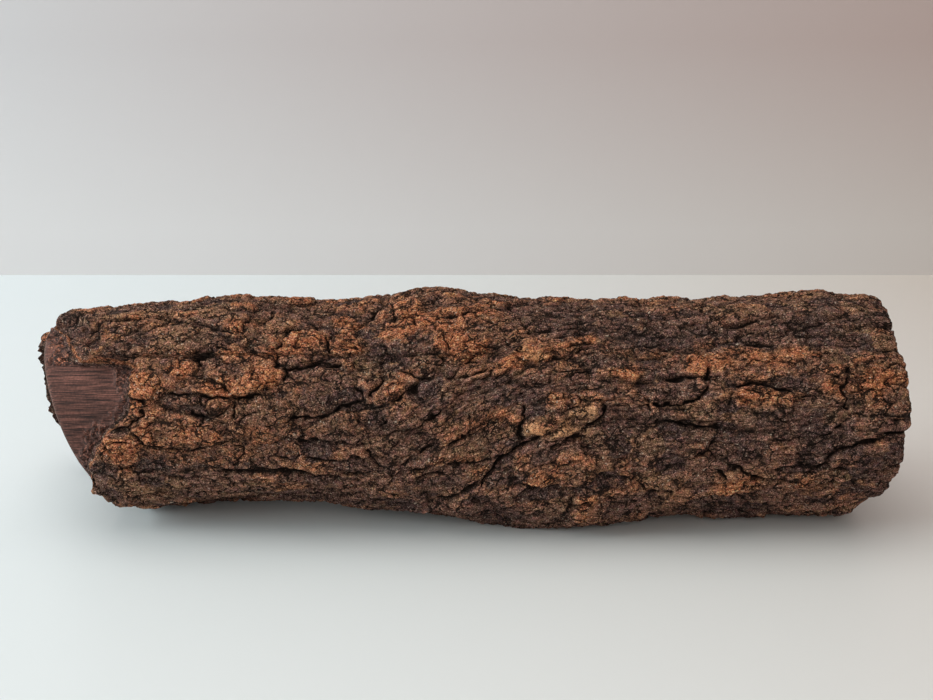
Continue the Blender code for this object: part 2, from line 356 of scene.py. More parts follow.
@dataclass
class Skin:
    """A patch of bark laid out as rings and columns, with noise that follows its grain."""

    form: TrunkForm
    x: Array  # mm
    angle: Array
    around: Array = field(init=False)

    def __post_init__(self) -> None:
        """Follows the grain once for every point."""
        self.around = self.form.along_grain(self.x, self.angle)

    def wave(self, along: float, around: float, seed: int, octaves: int = 1) -> Array:
        """Noise with waves of that length along and around the trunk, in millimetres.

        Args:
            along: a wave's length along the trunk.
            around: a wave's length around the trunk.
            seed: which pattern.
            octaves: how many times it is repeated at half the size and strength.

        Returns:
            Values from about -1 to 1.
        """
        period = max(2, round(self.form.girth / around))
        u, v = self.x / along, self.around / self.form.girth * period
        total = np.zeros(self.around.shape, np.float32)
        for octave in range(octaves):
            finer = 2**octave
            total += noise(u * finer, v * finer, period * finer, seed + octave) / finer
        return total

    def crack_into(
        self, along: float, around: float, seed: int, shift_along: Array, shift_around: Array
    ) -> Cells:
        """Cracks this skin into cells of that size.

        Args:
            along: a cell's length along the trunk, in millimetres.
            around: its length around the trunk.
            seed: which pattern.
            shift_along: how far each point is moved along, which makes the edges ragged.
            shift_around: the same around.

        Returns:
            The cells.
        """
        period = round(self.form.girth / around)
        u = (self.x + shift_along) / along
        v = (self.around + shift_around) / self.form.girth * period
        return cells(u, v, period, seed, along, around)

    def beside_line(self, places: Line, shift_along: Array, shift_around: Array) -> tuple[Array, Array]:
        """How far each point is from a line, and how far to its upper side.

        Args:
            places: the line.
            shift_along: how far each point is moved along, which makes the line ragged.
            shift_around: the same around.

        Returns:
            Both, in millimetres over the bark.
        """
        best = np.full(self.around.shape, 99.0, np.float32)
        above = np.zeros(self.around.shape, np.float32)
        radius = self.form.bark_radius
        for (x0, a0), (x1, a1) in zip(places, places[1:]):
            run_x, run_a = x1 - x0, math.radians(a1 - a0) * radius
            across = turn_between(self.angle, math.radians(a0)) * radius + shift_around
            beside = self.x - x0 + shift_along
            share = np.clip((beside * run_x + across * run_a) / (run_x**2 + run_a**2), 0, 1)
            gap = np.hypot(beside - share * run_x, across - share * run_a)
            side = (across * run_x - beside * run_a) / math.hypot(run_x, run_a)
            above = np.where(gap < best, side, above)
            best = np.minimum(best, gap)
        return best, above

    def strength_of(self, spots: tuple[Spot, ...]) -> Array:
        """How strong these spots are at every point, added up; their edges are ragged.

        Args:
            spots: where it is strong, and how strong.

        Returns:
            The strength, 0 away from every spot.
        """
        total = np.zeros(self.around.shape, np.float32)
        along = self.x + 2.2 * self.wave(8, 6, 211, 2)
        stray = 1.6 * self.wave(9, 5, 213, 2)
        for spot in spots:
            turn = turn_between(self.angle, math.radians(spot.degrees)) * self.form.bark_radius + stray
            away = ((along - spot.x) / spot.along) ** 2 + (turn / spot.around) ** 2
            total += spot.strength * np.exp(-(away**1.4))
        return total


def hidden_splits() -> list[Split]:
    """The splits of the back and the underside: along the grain, and every third one across it.

    Returns:
        The splits, the same ones each time.
    """
    draw = np.random.default_rng(7)
    found = []
    for number in range(26):
        length_range, rise_range = ((3, 8), (12, 20)) if number % 3 == 0 else ((24, 46), (-14, 14))
        x, a = draw.uniform(-135, 180), draw.uniform(118, 282)
        length, rise = draw.uniform(*length_range), draw.uniform(*rise_range)
        middle = (x + length / 2, a + rise / 2 + draw.uniform(-3, 3))
        found.append(Split(draw.uniform(2.8, 4.0), ((x, a), middle, (x + length, a + rise))))
    return found


def spots(*rows: tuple[float, float, float, float, float]) -> tuple[Spot, ...]:
    """Spots, each from its x, degrees around, length along, length around and strength."""
    return tuple(Spot(*row) for row in rows)


BROAD_SPLITS = (
    Split(3.6, ((-116, 26), (-102, 23), (-86, 23), (-70, 32), (-52, 40), (-43, 41)), lift=0.9),
    Split(3.4, ((-66, 63), (-69, 50), (-70, 32))),
    Split(3.2, ((-80, 66), (-74, 78))),
    Split(3.0, ((-60, 62), (-47, 70))),
    Split(3.6, ((-37, 66), (-28, 78), (-18, 90))),
    Split(3.4, ((-25, 39), (-24, 32), (-29, 24))),
    Split(3.0, ((-64, 13), (-52, 13), (-43, 17)), lift=0.8),
    Split(4.2, ((14, -34), (24, -14), (34, -2), (46, 7)), lift=1.2),
    Split(4.6, ((49, 1), (60, 7), (70, 14), (72, 20)), lift=1.6),
    Split(3.0, ((1, -16), (16, -9), (27, -7)), lift=0.8),
    Split(3.2, ((-17, -15), (-10, -8), (-3, 0))),
    Split(3.0, ((36, 18), (36, 3))),
    Split(4.0, ((92, 19), (107, 20), (114, 27), (116, 39)), lift=0.9),
    Split(3.0, ((91, 6), (104, 6), (105, 17))),
    Split(3.4, ((56, -38), (68, -31), (82, -26)), lift=0.9),
    Split(3.2, ((76, -36), (90, -30), (102, -28))),
    Split(3.2, ((121, -12), (127, -20), (150, -22)), lift=0.8),
    Split(3.8, ((150, 60), (176, 62), (199, 63)), lift=1.0),
    Split(3.0, ((176, 38), (174, 28), (175, 18))),
    Split(3.2, ((162, -18), (168, -8), (184, 3), (200, 7))),
    Split(4.0, ((163, -40), (178, -42), (196, -43))),
    # under the edge of the top layer at the broken end; its crevice paints the shadow under that edge:
    # painted shadow
    Split(3.0, ((-156, 72), (-141, 73), (-118, 73))),
    Split(3.2, ((-143, -25), (-126, -29))),
    Split(3.6, ((32, 88), (39, 68), (42, 56))),
)

FINE_SPLITS = (
    # under the edge of the top layer at the broken end; its crevice paints the shadow under that edge:
    # painted shadow
    Split(2.0, ((-153, 72), (-137, 70), (-122, 73)), 0.7),
    Split(2.2, ((-145, -1), (-128, -1), (-113, -4), (-99, -4)), 0.6, lift=0.7),
    Split(2.0, ((-102, 23), (-101, 13), (-103, 8)), 0.7),
    Split(2.2, ((-88, 21), (-87, 13)), 0.9),
    Split(1.8, ((-49, 57), (-48, 45), (-51, 40)), 0.6),
    Split(2.2, ((-89, -1), (-84, -3), (-86, -9), (-90, -14)), 0.8),
    Split(1.8, ((-23, 91), (-20, 75), (-19, 61)), 0.6),
    Split(1.8, ((13, 17), (13, 5), (15, -2)), 0.6),
    Split(2.0, ((11, 78), (21, 68), (30, 63)), 0.8),
    Split(2.0, ((19, 56), (19, 48), (15, 43), (11, 38)), 0.8),
    Split(1.8, ((3, 67), (3, 57), (5, 50)), 0.6),
    Split(1.8, ((-12, 70), (-9, 60), (-11, 52)), 0.6),
    Split(2.2, ((-11, -20), (1, -18), (16, -25)), 0.8),
    Split(2.4, ((16, -33), (24, -46), (32, -60)), 0.9),
    Split(2.4, ((123, -14), (127, -20), (146, -22), (158, -24)), 0.8),
    Split(1.8, ((141, 68), (142, 59)), 0.6),
    Split(2.0, ((166, 51), (165, 42)), 0.7),
    Split(2.4, ((142, 2), (154, 3), (167, 5), (173, 10)), 0.9, lift=0.8),
    Split(2.2, ((-20, 39), (-8, 33), (6, 33), (20, 37)), 0.8),
    Split(1.8, ((40, 39), (52, 36), (70, 38)), 0.7),
    Split(1.6, ((62, -6), (74, -3), (88, -6)), 0.6),
    Split(1.8, ((88, 52), (104, 49), (122, 52)), 0.6),
    Split(1.6, ((130, 27), (146, 25), (160, 28)), 0.6),
    Split(1.8, ((-58, -8), (-44, -10), (-30, -8)), 0.7),
    Split(1.6, ((-36, 4), (-34, -6), (-38, -16)), 0.6),
    Split(2.0, ((-75, -22), (-58, -25), (-40, -24)), 0.7, lift=0.8),
    Split(2.0, ((96, -44), (118, -46), (142, -43)), 0.8, lift=0.8),
)

# The edge of the layer that is left at the top of the broken end
TOP_EDGE = Split(0.0, ((-166, 72), (-141, 73), (-118, 73), (-98, 76)), lift=1.7)

RUST_SPOTS = spots(
    (10, 50, 9, 7, 1.9), (140, 38, 50, 16, 0.42), (150, -28, 40, 12, 0.36), (-13, 73, 9, 6, 0.8),
    (-2, 64, 10, 6, 0.5), (-114, 38, 4, 3, 1.4), (-136, 30, 10, 8, 0.8), (-140, -12, 12, 10, 0.6),
    (-108, 12, 34, 22, 0.4), (-90, 70, 60, 8, 0.3), (40, 62, 60, 14, 0.18), (-80, 52, 26, 9, 0.4),
    (-89, 29, 9, 5, 0.7), (-74, 34, 7, 4, 0.6), (-48, 52, 9, 6, 0.6), (-60, 52, 6, 6, 0.4),
    (-33, 50, 8, 4, 0.6), (114, 40, 7, 6, 0.9), (130, 42, 14, 7, 0.55), (150, 46, 14, 6, 0.4),
    (165, 45, 12, 5, 0.4), (131, 23, 9, 4, 1.0), (188, 30, 9, 7, 0.7), (190, 60, 7, 4, 0.9),
    (65, 57, 5, 4, 1.1), (18, 15, 12, 6, 0.6), (30, 10, 9, 6, 0.6), (60, 25, 22, 6, 0.6),
    (38, 42, 14, 5, 0.4), (12, -12, 10, 4, 0.6), (85, 32, 8, 6, 0.6), (132, -26, 12, 6, 0.6),
    (172, -30, 14, 7, 0.6), (-150, 62, 10, 4, 0.9),
)

PALE_SPOTS = spots(
    (43, 44, 6, 2.6, 1.9), (36, 50, 4, 3.0, 1.1), (43, 8, 6, 4.0, 1.7), (54, 10, 5, 4.0, 1.4),
    (62, 16, 5, 4.0, 1.1), (-19, 42, 3, 2.5, 1.2), (22, -22, 3, 3.0, 0.9), (64, -8, 4, 4.0, 0.8),
    (87, 31, 3.5, 1.6, 1.3), (94, 33, 2.0, 3.0, 1.1), (89, -9, 5, 2.5, 0.8), (196, 30, 6, 5.0, 0.7),
    (-70, 64, 4, 4.0, 0.7), (-58, -20, 8, 2.0, 0.7), (-130, 76, 30, 3.0, 0.5), (150, 78, 50, 5.0, 0.6),
    (125, 43, 8, 5.0, 0.4), (6, -11, 8, 3.0, 0.4),
)

TAN_SPOTS = spots(
    (5, 8, 9, 5, 1.3), (12, -6, 10, 4, 0.9), (44, 9, 8, 6, 1.4), (60, 12, 8, 6, 1.3),
    (-40, -19, 9, 4, 1.3), (30, 37, 18, 5, 0.7), (-37, 53, 8, 5, 1.1), (-36, 38, 6, 4, 0.9),
    (58, -9, 8, 6, 1.2), (-135, 77, 20, 5, 1.7), (-102, 79, 11, 5, 1.3), (-73, 62, 8, 6, 1.4),
    (-82, 33, 9, 6, 0.9), (-100, 60, 30, 7, 0.6), (120, 76, 60, 5, 0.8), (-130, -33, 16, 7, 0.9),
    (-120, 52, 16, 5, 0.6), (100, -20, 40, 8, 0.5),
)

FIBROUS_SPOTS = spots(
    (120, 10, 64, 26, 1.0), (150, 66, 60, 18, 1.1), (160, -30, 54, 24, 1.0), (-60, -46, 110, 20, 1.0),
    (100, -52, 110, 20, 1.0), (60, 76, 34, 14, 0.7), (30, 26, 40, 9, 0.9), (-20, -36, 50, 14, 0.6),
    (-130, 74, 50, 6, 0.9),
)

# Where the bark is whole, without crevices between its plates
CALM_SPOTS = spots(
    (10, 24, 26, 9, 1.0), (40, 27, 22, 6, 1.0),
)

# dark patches of fibre; those at (26, -47), (-9, 26) and (54, 71) lie in dents, where the darkening is
# painted shade
DARK_SPOTS = spots(
    (54, 71, 15, 11, 0.9), (-22, 46, 16, 6, 0.8), (90, 62, 36, 8, 0.7), (168, 64, 26, 7, 0.8),
    (150, 12, 34, 8, 0.8), (26, -47, 11, 8, 1.3), (-9, 26, 4, 3, 0.9), (74, 42, 10, 5, 0.5),
    (-96, 56, 22, 5, 0.5), (70, 8, 10, 7, 0.6), (-60, -48, 60, 10, 0.5),
)

LUMPS = spots(
    (-58, 56, 6, 6, 1.8), (-70, 66, 5, 5, 1.4), (-46, 60, 6, 5, 1.2), (10, 50, 8, 7, 1.2),
    (-12, 16, 9, 8, 1.6), (4, 26, 6, 4, 0.8), (-9, 26, 3.2, 2.4, -3.4), (43, 8, 6, 3.2, 1.6),
    (54, 10, 6, 2.8, 1.4), (64, 17, 5, 3.0, 1.0), (118, 41, 10, 6, 1.0), (24, -36, 4, 3, -1.8),
    (64, -10, 10, 7, 0.9), (0, -10, 12, 5, 0.8), (173, -23, 3.0, 2.4, -2.6), (88, 24, 9, 5, 0.8),
)


def blurred(values: Array, rings: int, columns: int) -> Array:
    """Evens out values over neighbouring rings and columns, columns closing round the trunk.

    Args:
        values: one value for each ring and column.
        rings: how many rings to each side.
        columns: how many columns to each side.

    Returns:
        The mean of each point's neighbourhood.
    """
    padded = np.pad(values.astype(float), ((rings, rings), (0, 0)), mode="edge")
    padded = np.pad(padded, ((0, 0), (columns, columns)), mode="wrap")
    sums = np.pad(padded.cumsum(0).cumsum(1), ((1, 0), (1, 0)))
    tall, wide = 2 * rings + 1, 2 * columns + 1
    total = sums[tall:, wide:] - sums[:-tall, wide:] - sums[tall:, :-wide] + sums[:-tall, :-wide]
    return (total / (tall * wide)).astype(np.float32)


@dataclass
class BarkRelief:
    """The bark's fine relief: torn splits, cracked plates, ledges, fibres and grains of cork."""

    skin: Skin
    plate_length: float = 30.0
    plates_around: int = 17
    plate_step: float = 1.2
    furrow_depth: float = 1.1
    furrow_share: float = 0.26
    crevice_depth: float = 1.9
    broad_split_half_width: float = 2.6
    lift_reach: float = 3.2
    ledge_height: float = 0.85
    small_plate: tuple[float, float] = (12.0, 7.4)  # along and around
    tiny_plate: tuple[float, float] = (4.6, 3.0)
    crumb: tuple[float, float] = (1.9, 1.6)
    masks: Masks = field(default_factory=dict)

    def radius(self) -> Array:
        """The bark's outer radius at every point, in millimetres; the colour masks are made on the way.

        Returns:
            The radius of each corner.
        """
        skin = self.skin
        jag_along = 2.0 * skin.wave(9, 6, 101, 3) + 0.9 * skin.wave(2.6, 2.0, 105, 2)
        jag_around = 1.2 * skin.wave(12, 6, 111, 3) + 0.7 * skin.wave(2.8, 1.8, 115, 2)
        fibrous = self.fibrous_share()
        height = self.main_plates(jag_along, jag_around)
        height += self.torn_splits(jag_along, jag_around)
        height += self.small_plates(jag_along, jag_around, fibrous)
        height += self.ledges(fibrous) + self.lumps(fibrous)
        height += skin.strength_of(LUMPS)
        coarse = height.copy()
        height += self.fibres(fibrous) + self.grains(fibrous)
        self.colour_masks(coarse, height, fibrous)
        body = skin.form.body_radius(skin.x, skin.angle)
        slow = ring_noise(skin.x / 55.0, skin.around / skin.form.girth, 6, 5)
        return body + slow + height

    def fibrous_share(self) -> Array:
        """1 where the bark is drawn out in fibres along the trunk, 0 where it is crumbly cork."""
        drawn = 0.35 * self.skin.wave(60, 22, 121, 2) + self.skin.strength_of(FIBROUS_SPOTS) + 0.04
        return smooth((drawn - 0.15) / 0.6)

    def main_plates(self, along: Array, around: Array) -> Array:
        """The large plates, which stand higher or lower, and the furrows between them.

        Args:
            along: how far each point is moved along, which makes the edges ragged.
            around: the same around.

        Returns:
            The height that this adds, in millimetres.
        """
        skin = self.skin
        size = skin.form.girth / self.plates_around
        plate = skin.crack_into(self.plate_length, size, 11, along, around)
        inside = smooth(plate.gap / self.furrow_share)
        lengthwise = plate.lengthwise
        width = np.maximum(0.35 + 0.45 * lengthwise * (1 + 0.9 * skin.wave(17, 9, 131, 2)), 0.25)
        crevice = np.exp(-((np.abs(plate.edge) / width) ** 1.5))
        whole = np.clip(skin.strength_of(CALM_SPOTS), 0, 1)
        kept = smooth(0.05 + 1.25 * skin.wave(13, 8, 133, 2)) * (1 - whole)
        # the crevices are later painted near-black through the crack mask: painted shade
        self.masks["crevice"] = crevice * kept
        self.masks["plate"] = plate.own
        step = self.plate_step * (2 * plate.own - 1) * smooth(plate.gap / 0.09)
        floor = self.furrow_depth * (1 - inside) * (0.5 + 0.5 * lengthwise) * (1 - 0.8 * whole)
        lean = 0.8 * plate.lean * smooth(plate.gap / 0.14)
        return step - floor - self.crevice_depth * crevice * kept + lean

    def torn_splits(self, along: Array, around: Array) -> Array:
        """The large splits, each a soft valley with a crevice in it, and the fine ones.

        Args:
            along: how far each point is moved along, which makes the edges ragged.
            around: the same around.

        Returns:
            The height that this adds, in millimetres.
        """
        skin = self.skin
        height = np.zeros(skin.around.shape, np.float32)
        crevice = self.masks["crevice"]
        width = 0.55 + 0.35 * skin.wave(6, 6, 137, 2)
        kept = smooth(0.6 + 1.1 * skin.wave(7, 6, 138, 2))
        for split in (*BROAD_SPLITS, *hidden_splits()):
            gap, _ = skin.beside_line(split.places, along * 0.8, around * 1.2)
            height -= 0.26 * split.depth * (1 - smooth(gap / self.broad_split_half_width))
            torn = np.exp(-((gap / width) ** 1.5)) * kept
            height -= 0.7 * split.depth * torn
            crevice = np.maximum(crevice, torn)
        for split in FINE_SPLITS:
            gap, _ = skin.beside_line(split.places, along * 0.5, around * 0.7)
            torn = np.exp(-((gap / (0.62 * split.half_width)) ** 1.5)) * kept
            height -= 0.9 * split.depth * torn
            crevice = np.maximum(crevice, torn)
        # each split's crevice is painted near-black through the crack mask: painted shade
        self.masks["crevice"] = crevice
        for split in (TOP_EDGE, *BROAD_SPLITS, *FINE_SPLITS):
            if split.lift:
                gap, above = skin.beside_line(split.places, along * 0.6, around * 0.8)
                height += split.lift * np.exp(-gap / self.lift_reach) * smooth(0.5 + above / 0.5)
        return height

    def small_plates(self, along: Array, around: Array, fibrous: Array) -> Array:
        """Small plates within the large ones, with hair cracks between them.

        Args:
            along: how far each point is moved along, which makes the edges ragged.
            around: the same around.
            fibrous: how fibrous the bark is, from 0 to 1.

        Returns:
            The height that this adds, in millimetres.
        """
        skin = self.skin
        small = skin.crack_into(*self.small_plate, 21, along * 0.9, around * 0.9)
        hair = np.exp(-((np.abs(small.edge) / 0.4) ** 1.6))
        shown = smooth(0.36 + 1.1 * skin.wave(9, 7, 141, 2) - 0.25 * fibrous)
        tiny = skin.crack_into(*self.tiny_plate, 31, along * 0.6, around * 0.6)
        fissure = np.exp(-((np.abs(tiny.edge) / 0.3) ** 1.6)) * smooth(0.15 + 1.2 * skin.wave(8, 6, 143, 2))
        self.masks["crevice"] = np.maximum(self.masks["crevice"], 0.75 * hair * shown)
        self.masks["small"] = small.own
        blocky = smooth(small.gap / 0.2)
        raised = 0.65 * (2 * small.own - 1) * blocky + 0.75 * small.lean * blocky
        raised += (0.32 * (2 * tiny.own - 1) + 0.4 * tiny.lean) * smooth(tiny.gap / 0.25)
        return raised * (1 - 0.35 * fibrous) - 1.1 * hair * shown - 0.6 * fissure * (1 - 0.6 * fibrous)

    def ledges(self, fibrous: Array) -> Array:
        """Layers of bark that end in low ledges.

        Args:
            fibrous: how fibrous the bark is, from 0 to 1.

        Returns:
            The height that this adds, in millimetres.
        """
        skin = self.skin
        slope = 1.5 * skin.wave(30, 8, 151, 3) + 0.25 * skin.wave(2.4, 1.6, 155)
        layer = np.floor(slope / self.ledge_height)
        into = slope / self.ledge_height - layer
        ledge = self.ledge_height * (layer + smooth((into - 0.72) / 0.28)) - slope * 0.6
        return ledge * (0.35 + 0.4 * fibrous)

    def lumps(self, fibrous: Array) -> Array:
        """Rounded lumps with creases between them.

        Args:
            fibrous: how fibrous the bark is, from 0 to 1.

        Returns:
            The height that this adds, in millimetres.
        """
        skin = self.skin
        large = np.abs(skin.wave(8.5, 5.5, 157, 2)) - 0.35
        small = np.abs(skin.wave(3.6, 2.6, 159, 2)) - 0.35
        return (1 - 0.6 * fibrous) * (0.42 * large + 0.22 * small)

    def fibres(self, fibrous: Array) -> Array:
        """Ridges of fibre along the grain.

        Args:
            fibrous: how fibrous the bark is, from 0 to 1.

        Returns:
            The height that this adds, in millimetres.
        """
        skin = self.skin
        long_ridges = 1 - 2 * np.abs(skin.wave(20, 3.2, 161, 2))
        fine_ridges = 1 - 2 * np.abs(skin.wave(7, 1.5, 165, 2))
        return fibrous * (0.5 * long_ridges + 0.42 * fine_ridges) + (1 - fibrous) * 0.16 * fine_ridges

    def grains(self, fibrous: Array) -> Array:
        """Crumbs of cork on the surface.

        Args:
            fibrous: how fibrous the bark is, from 0 to 1.

        Returns:
            The height that this adds, in millimetres.
        """
        skin = self.skin
        crumb = skin.crack_into(*self.crumb, 41, 0.5 * skin.wave(3, 3, 171), 0.5 * skin.wave(3, 3, 172))
        round_top = 0.55 - crumb.nearest + 0.45 * (2 * crumb.own - 1)
        rough = skin.wave(2.6, 1.5, 173, 2)
        self.masks["crumb"] = crumb.own
        return (1 - 0.5 * fibrous) * 0.22 * round_top + 0.26 * rough * (1 - 0.3 * fibrous)

    def colour_masks(self, coarse: Array, height: Array, fibrous: Array) -> None:
        """Works out where the bark is rusty, pale, dark or cracked, and where light and shade are painted
        on its relief.

        Args:
            coarse: the relief without its finest detail, in millimetres.
            height: the whole relief.
            fibrous: how fibrous the bark is.
        """
        skin = self.skin
        masks = self.masks
        raised = (height - blurred(height, 7, 8)) / 1.2
        bulk = (coarse - blurred(coarse, 18, 20)) / 1.6
        small = masks["small"]
        rusty = 0.22 * skin.wave(34, 20, 181, 2) + 0.25 * skin.wave(9, 6, 185, 2)
        rusty += 0.15 * skin.wave(3.2, 2.2, 187)
        rusty += 0.22 * bulk + 0.22 * (masks["plate"] - 0.5) + 0.5 * (small - 0.5)
        rusty += skin.strength_of(RUST_SPOTS) - 0.25 * fibrous - 0.9 * skin.strength_of(DARK_SPOTS)
        # pale is partly pale flecks of bark and partly places that stand above their neighbours: painted
        # highlight
        pale = 0.35 * skin.wave(5, 3, 191, 2) + 0.5 * skin.wave(30, 20, 193) + 0.45 * raised
        pale += skin.strength_of(PALE_SPOTS) + 0.4 * (masks["crumb"] - 0.5)
        masks["rust"] = np.clip((rusty + 0.12) / 0.9, 0, 1)
        masks["pale"] = smooth((pale - 0.8) / 0.7)
        # raised is how far a place stands above its neighbours; the finish paints high places lighter and
        # low ones darker: painted light and shade
        masks["raised"] = np.clip(0.5 + 0.5 * raised, 0, 1)
        # crack is the crevices plus the places lower than their neighbours, all painted near-black: painted
        # shade
        masks["crack"] = np.clip(masks["crevice"] + smooth(-0.8 * raised - 0.35), 0, 1)
        yellowish = 0.5 * skin.wave(26, 12, 203, 2) + 1.1 * (small * 7.13 % 1 - 0.5)
        masks["tan"] = smooth((yellowish + skin.strength_of(TAN_SPOTS) - 0.2) / 0.8)
        masks["dark"] = np.clip(skin.strength_of(DARK_SPOTS) + 0.3 * skin.wave(24, 10, 195, 2), 0, 1)
        masks["fibrous"] = fibrous
        tone = 0.55 + 0.8 * (small * 3.71 % 1 - 0.5) + 0.25 * skin.wave(14, 9, 197, 2)
        masks["tone"] = np.clip(tone, 0, 1)


COLOUR_MASKS = ("rust", "tan", "pale", "raised", "crack", "dark", "fibrous", "tone")


def as_sheet(name: str, points: Array, masks: Masks, ring_closed: bool) -> bpy.types.Object:
    """Makes a closed skin from a flat sheet: it takes its places ring by ring and its edges are joined.

    Args:
        name: the piece's name.
        points: corners in metres, by ring and column; the columns close round the trunk.
        masks: values for each corner, by name.
        ring_closed: True if the last ring meets the first, False if both are drawn in to a point.

    Returns:
        The new piece.
    """
    rings, columns = points.shape[:2]
    ring_steps = rings if ring_closed else rings - 1
    bpy.ops.object.select_all(action="DESELECT")
    bpy.ops.mesh.primitive_grid_add(x_subdivisions=ring_steps, y_subdivisions=columns, size=1)
    piece = bpy.context.object
    piece.name = name
    mesh = piece.data
    flat = np.empty(len(mesh.vertices) * 3, np.float32)
    mesh.vertices.foreach_get("co", flat)
    flat = flat.reshape(-1, 3)
    ring = np.rint((flat[:, 0] + 0.5) * ring_steps).astype(int) % rings
    column = np.rint((flat[:, 1] + 0.5) * columns).astype(int) % columns
    mesh.vertices.foreach_set("co", points[ring, column].astype(np.float32).ravel())
    for mask, values in masks.items():
        write_mask(mesh, mask, np.broadcast_to(values, points.shape[:2] + values.shape[2:])[ring, column])
    bpy.ops.object.mode_set(mode="EDIT")
    bpy.ops.mesh.select_all(action="SELECT")
    bpy.ops.mesh.remove_doubles(threshold=1e-6)
    bpy.ops.mesh.normals_make_consistent(inside=False)
    bpy.ops.object.mode_set(mode="OBJECT")
    return piece


def write_mask(mesh: bpy.types.Mesh, name: str, values: Array) -> None:
    """Keeps a number, or a place of three numbers, for each corner of a mesh.

    Args:
        mesh: the mesh.
        name: the mask's name.
        values: one row for each corner.
    """
    if values.ndim == 1:
        attribute = mesh.attributes.new(name, "FLOAT", "POINT")
        attribute.data.foreach_set("value", values.astype(np.float32).ravel())
    else:
        attribute = mesh.attributes.new(name, "FLOAT_VECTOR", "POINT")
        attribute.data.foreach_set("vector", values.astype(np.float32).ravel())


def dress(piece: bpy.types.Object, material: Material, sharp_from: float = 60.0) -> None:
    """Gives a piece its finish, shades it and ties it to the trunk.

    Args:
        piece: the piece.
        material: its finish.
        sharp_from: edges that turn more than this, in degrees, stay crisp.
    """
    piece.data.materials.clear()
    piece.data.materials.append(material)
    bpy.ops.object.select_all(action="DESELECT")
    bpy.context.view_layer.objects.active = piece
    piece.select_set(True)
    bpy.ops.object.shade_smooth_by_angle(angle=math.radians(sharp_from), keep_sharp_edges=False)
    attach(piece, BODY)
    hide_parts(NODE)
    LOG.info("%s: %d faces", piece.name, len(piece.data.polygons))


def grain_places(form: TrunkForm, x: Array, around: Array, radius: Array) -> Array:
    """Places in metres that follow the grain, so that a pattern drawn out along their X runs with it.

    Args:
        form: the trunk's shape.
        x: along the trunk, in millimetres.
        around: distance around it along the grain, in millimetres.
        radius: from the axis, in millimetres.

    Returns:
        The places, three numbers each.
    """
    turn = around / form.girth * FULL_TURN
    x, radius, turn = np.broadcast_arrays(x, radius, turn)
    return np.stack([x, -radius * np.cos(turn), radius * np.sin(turn)], axis=-1) * MM


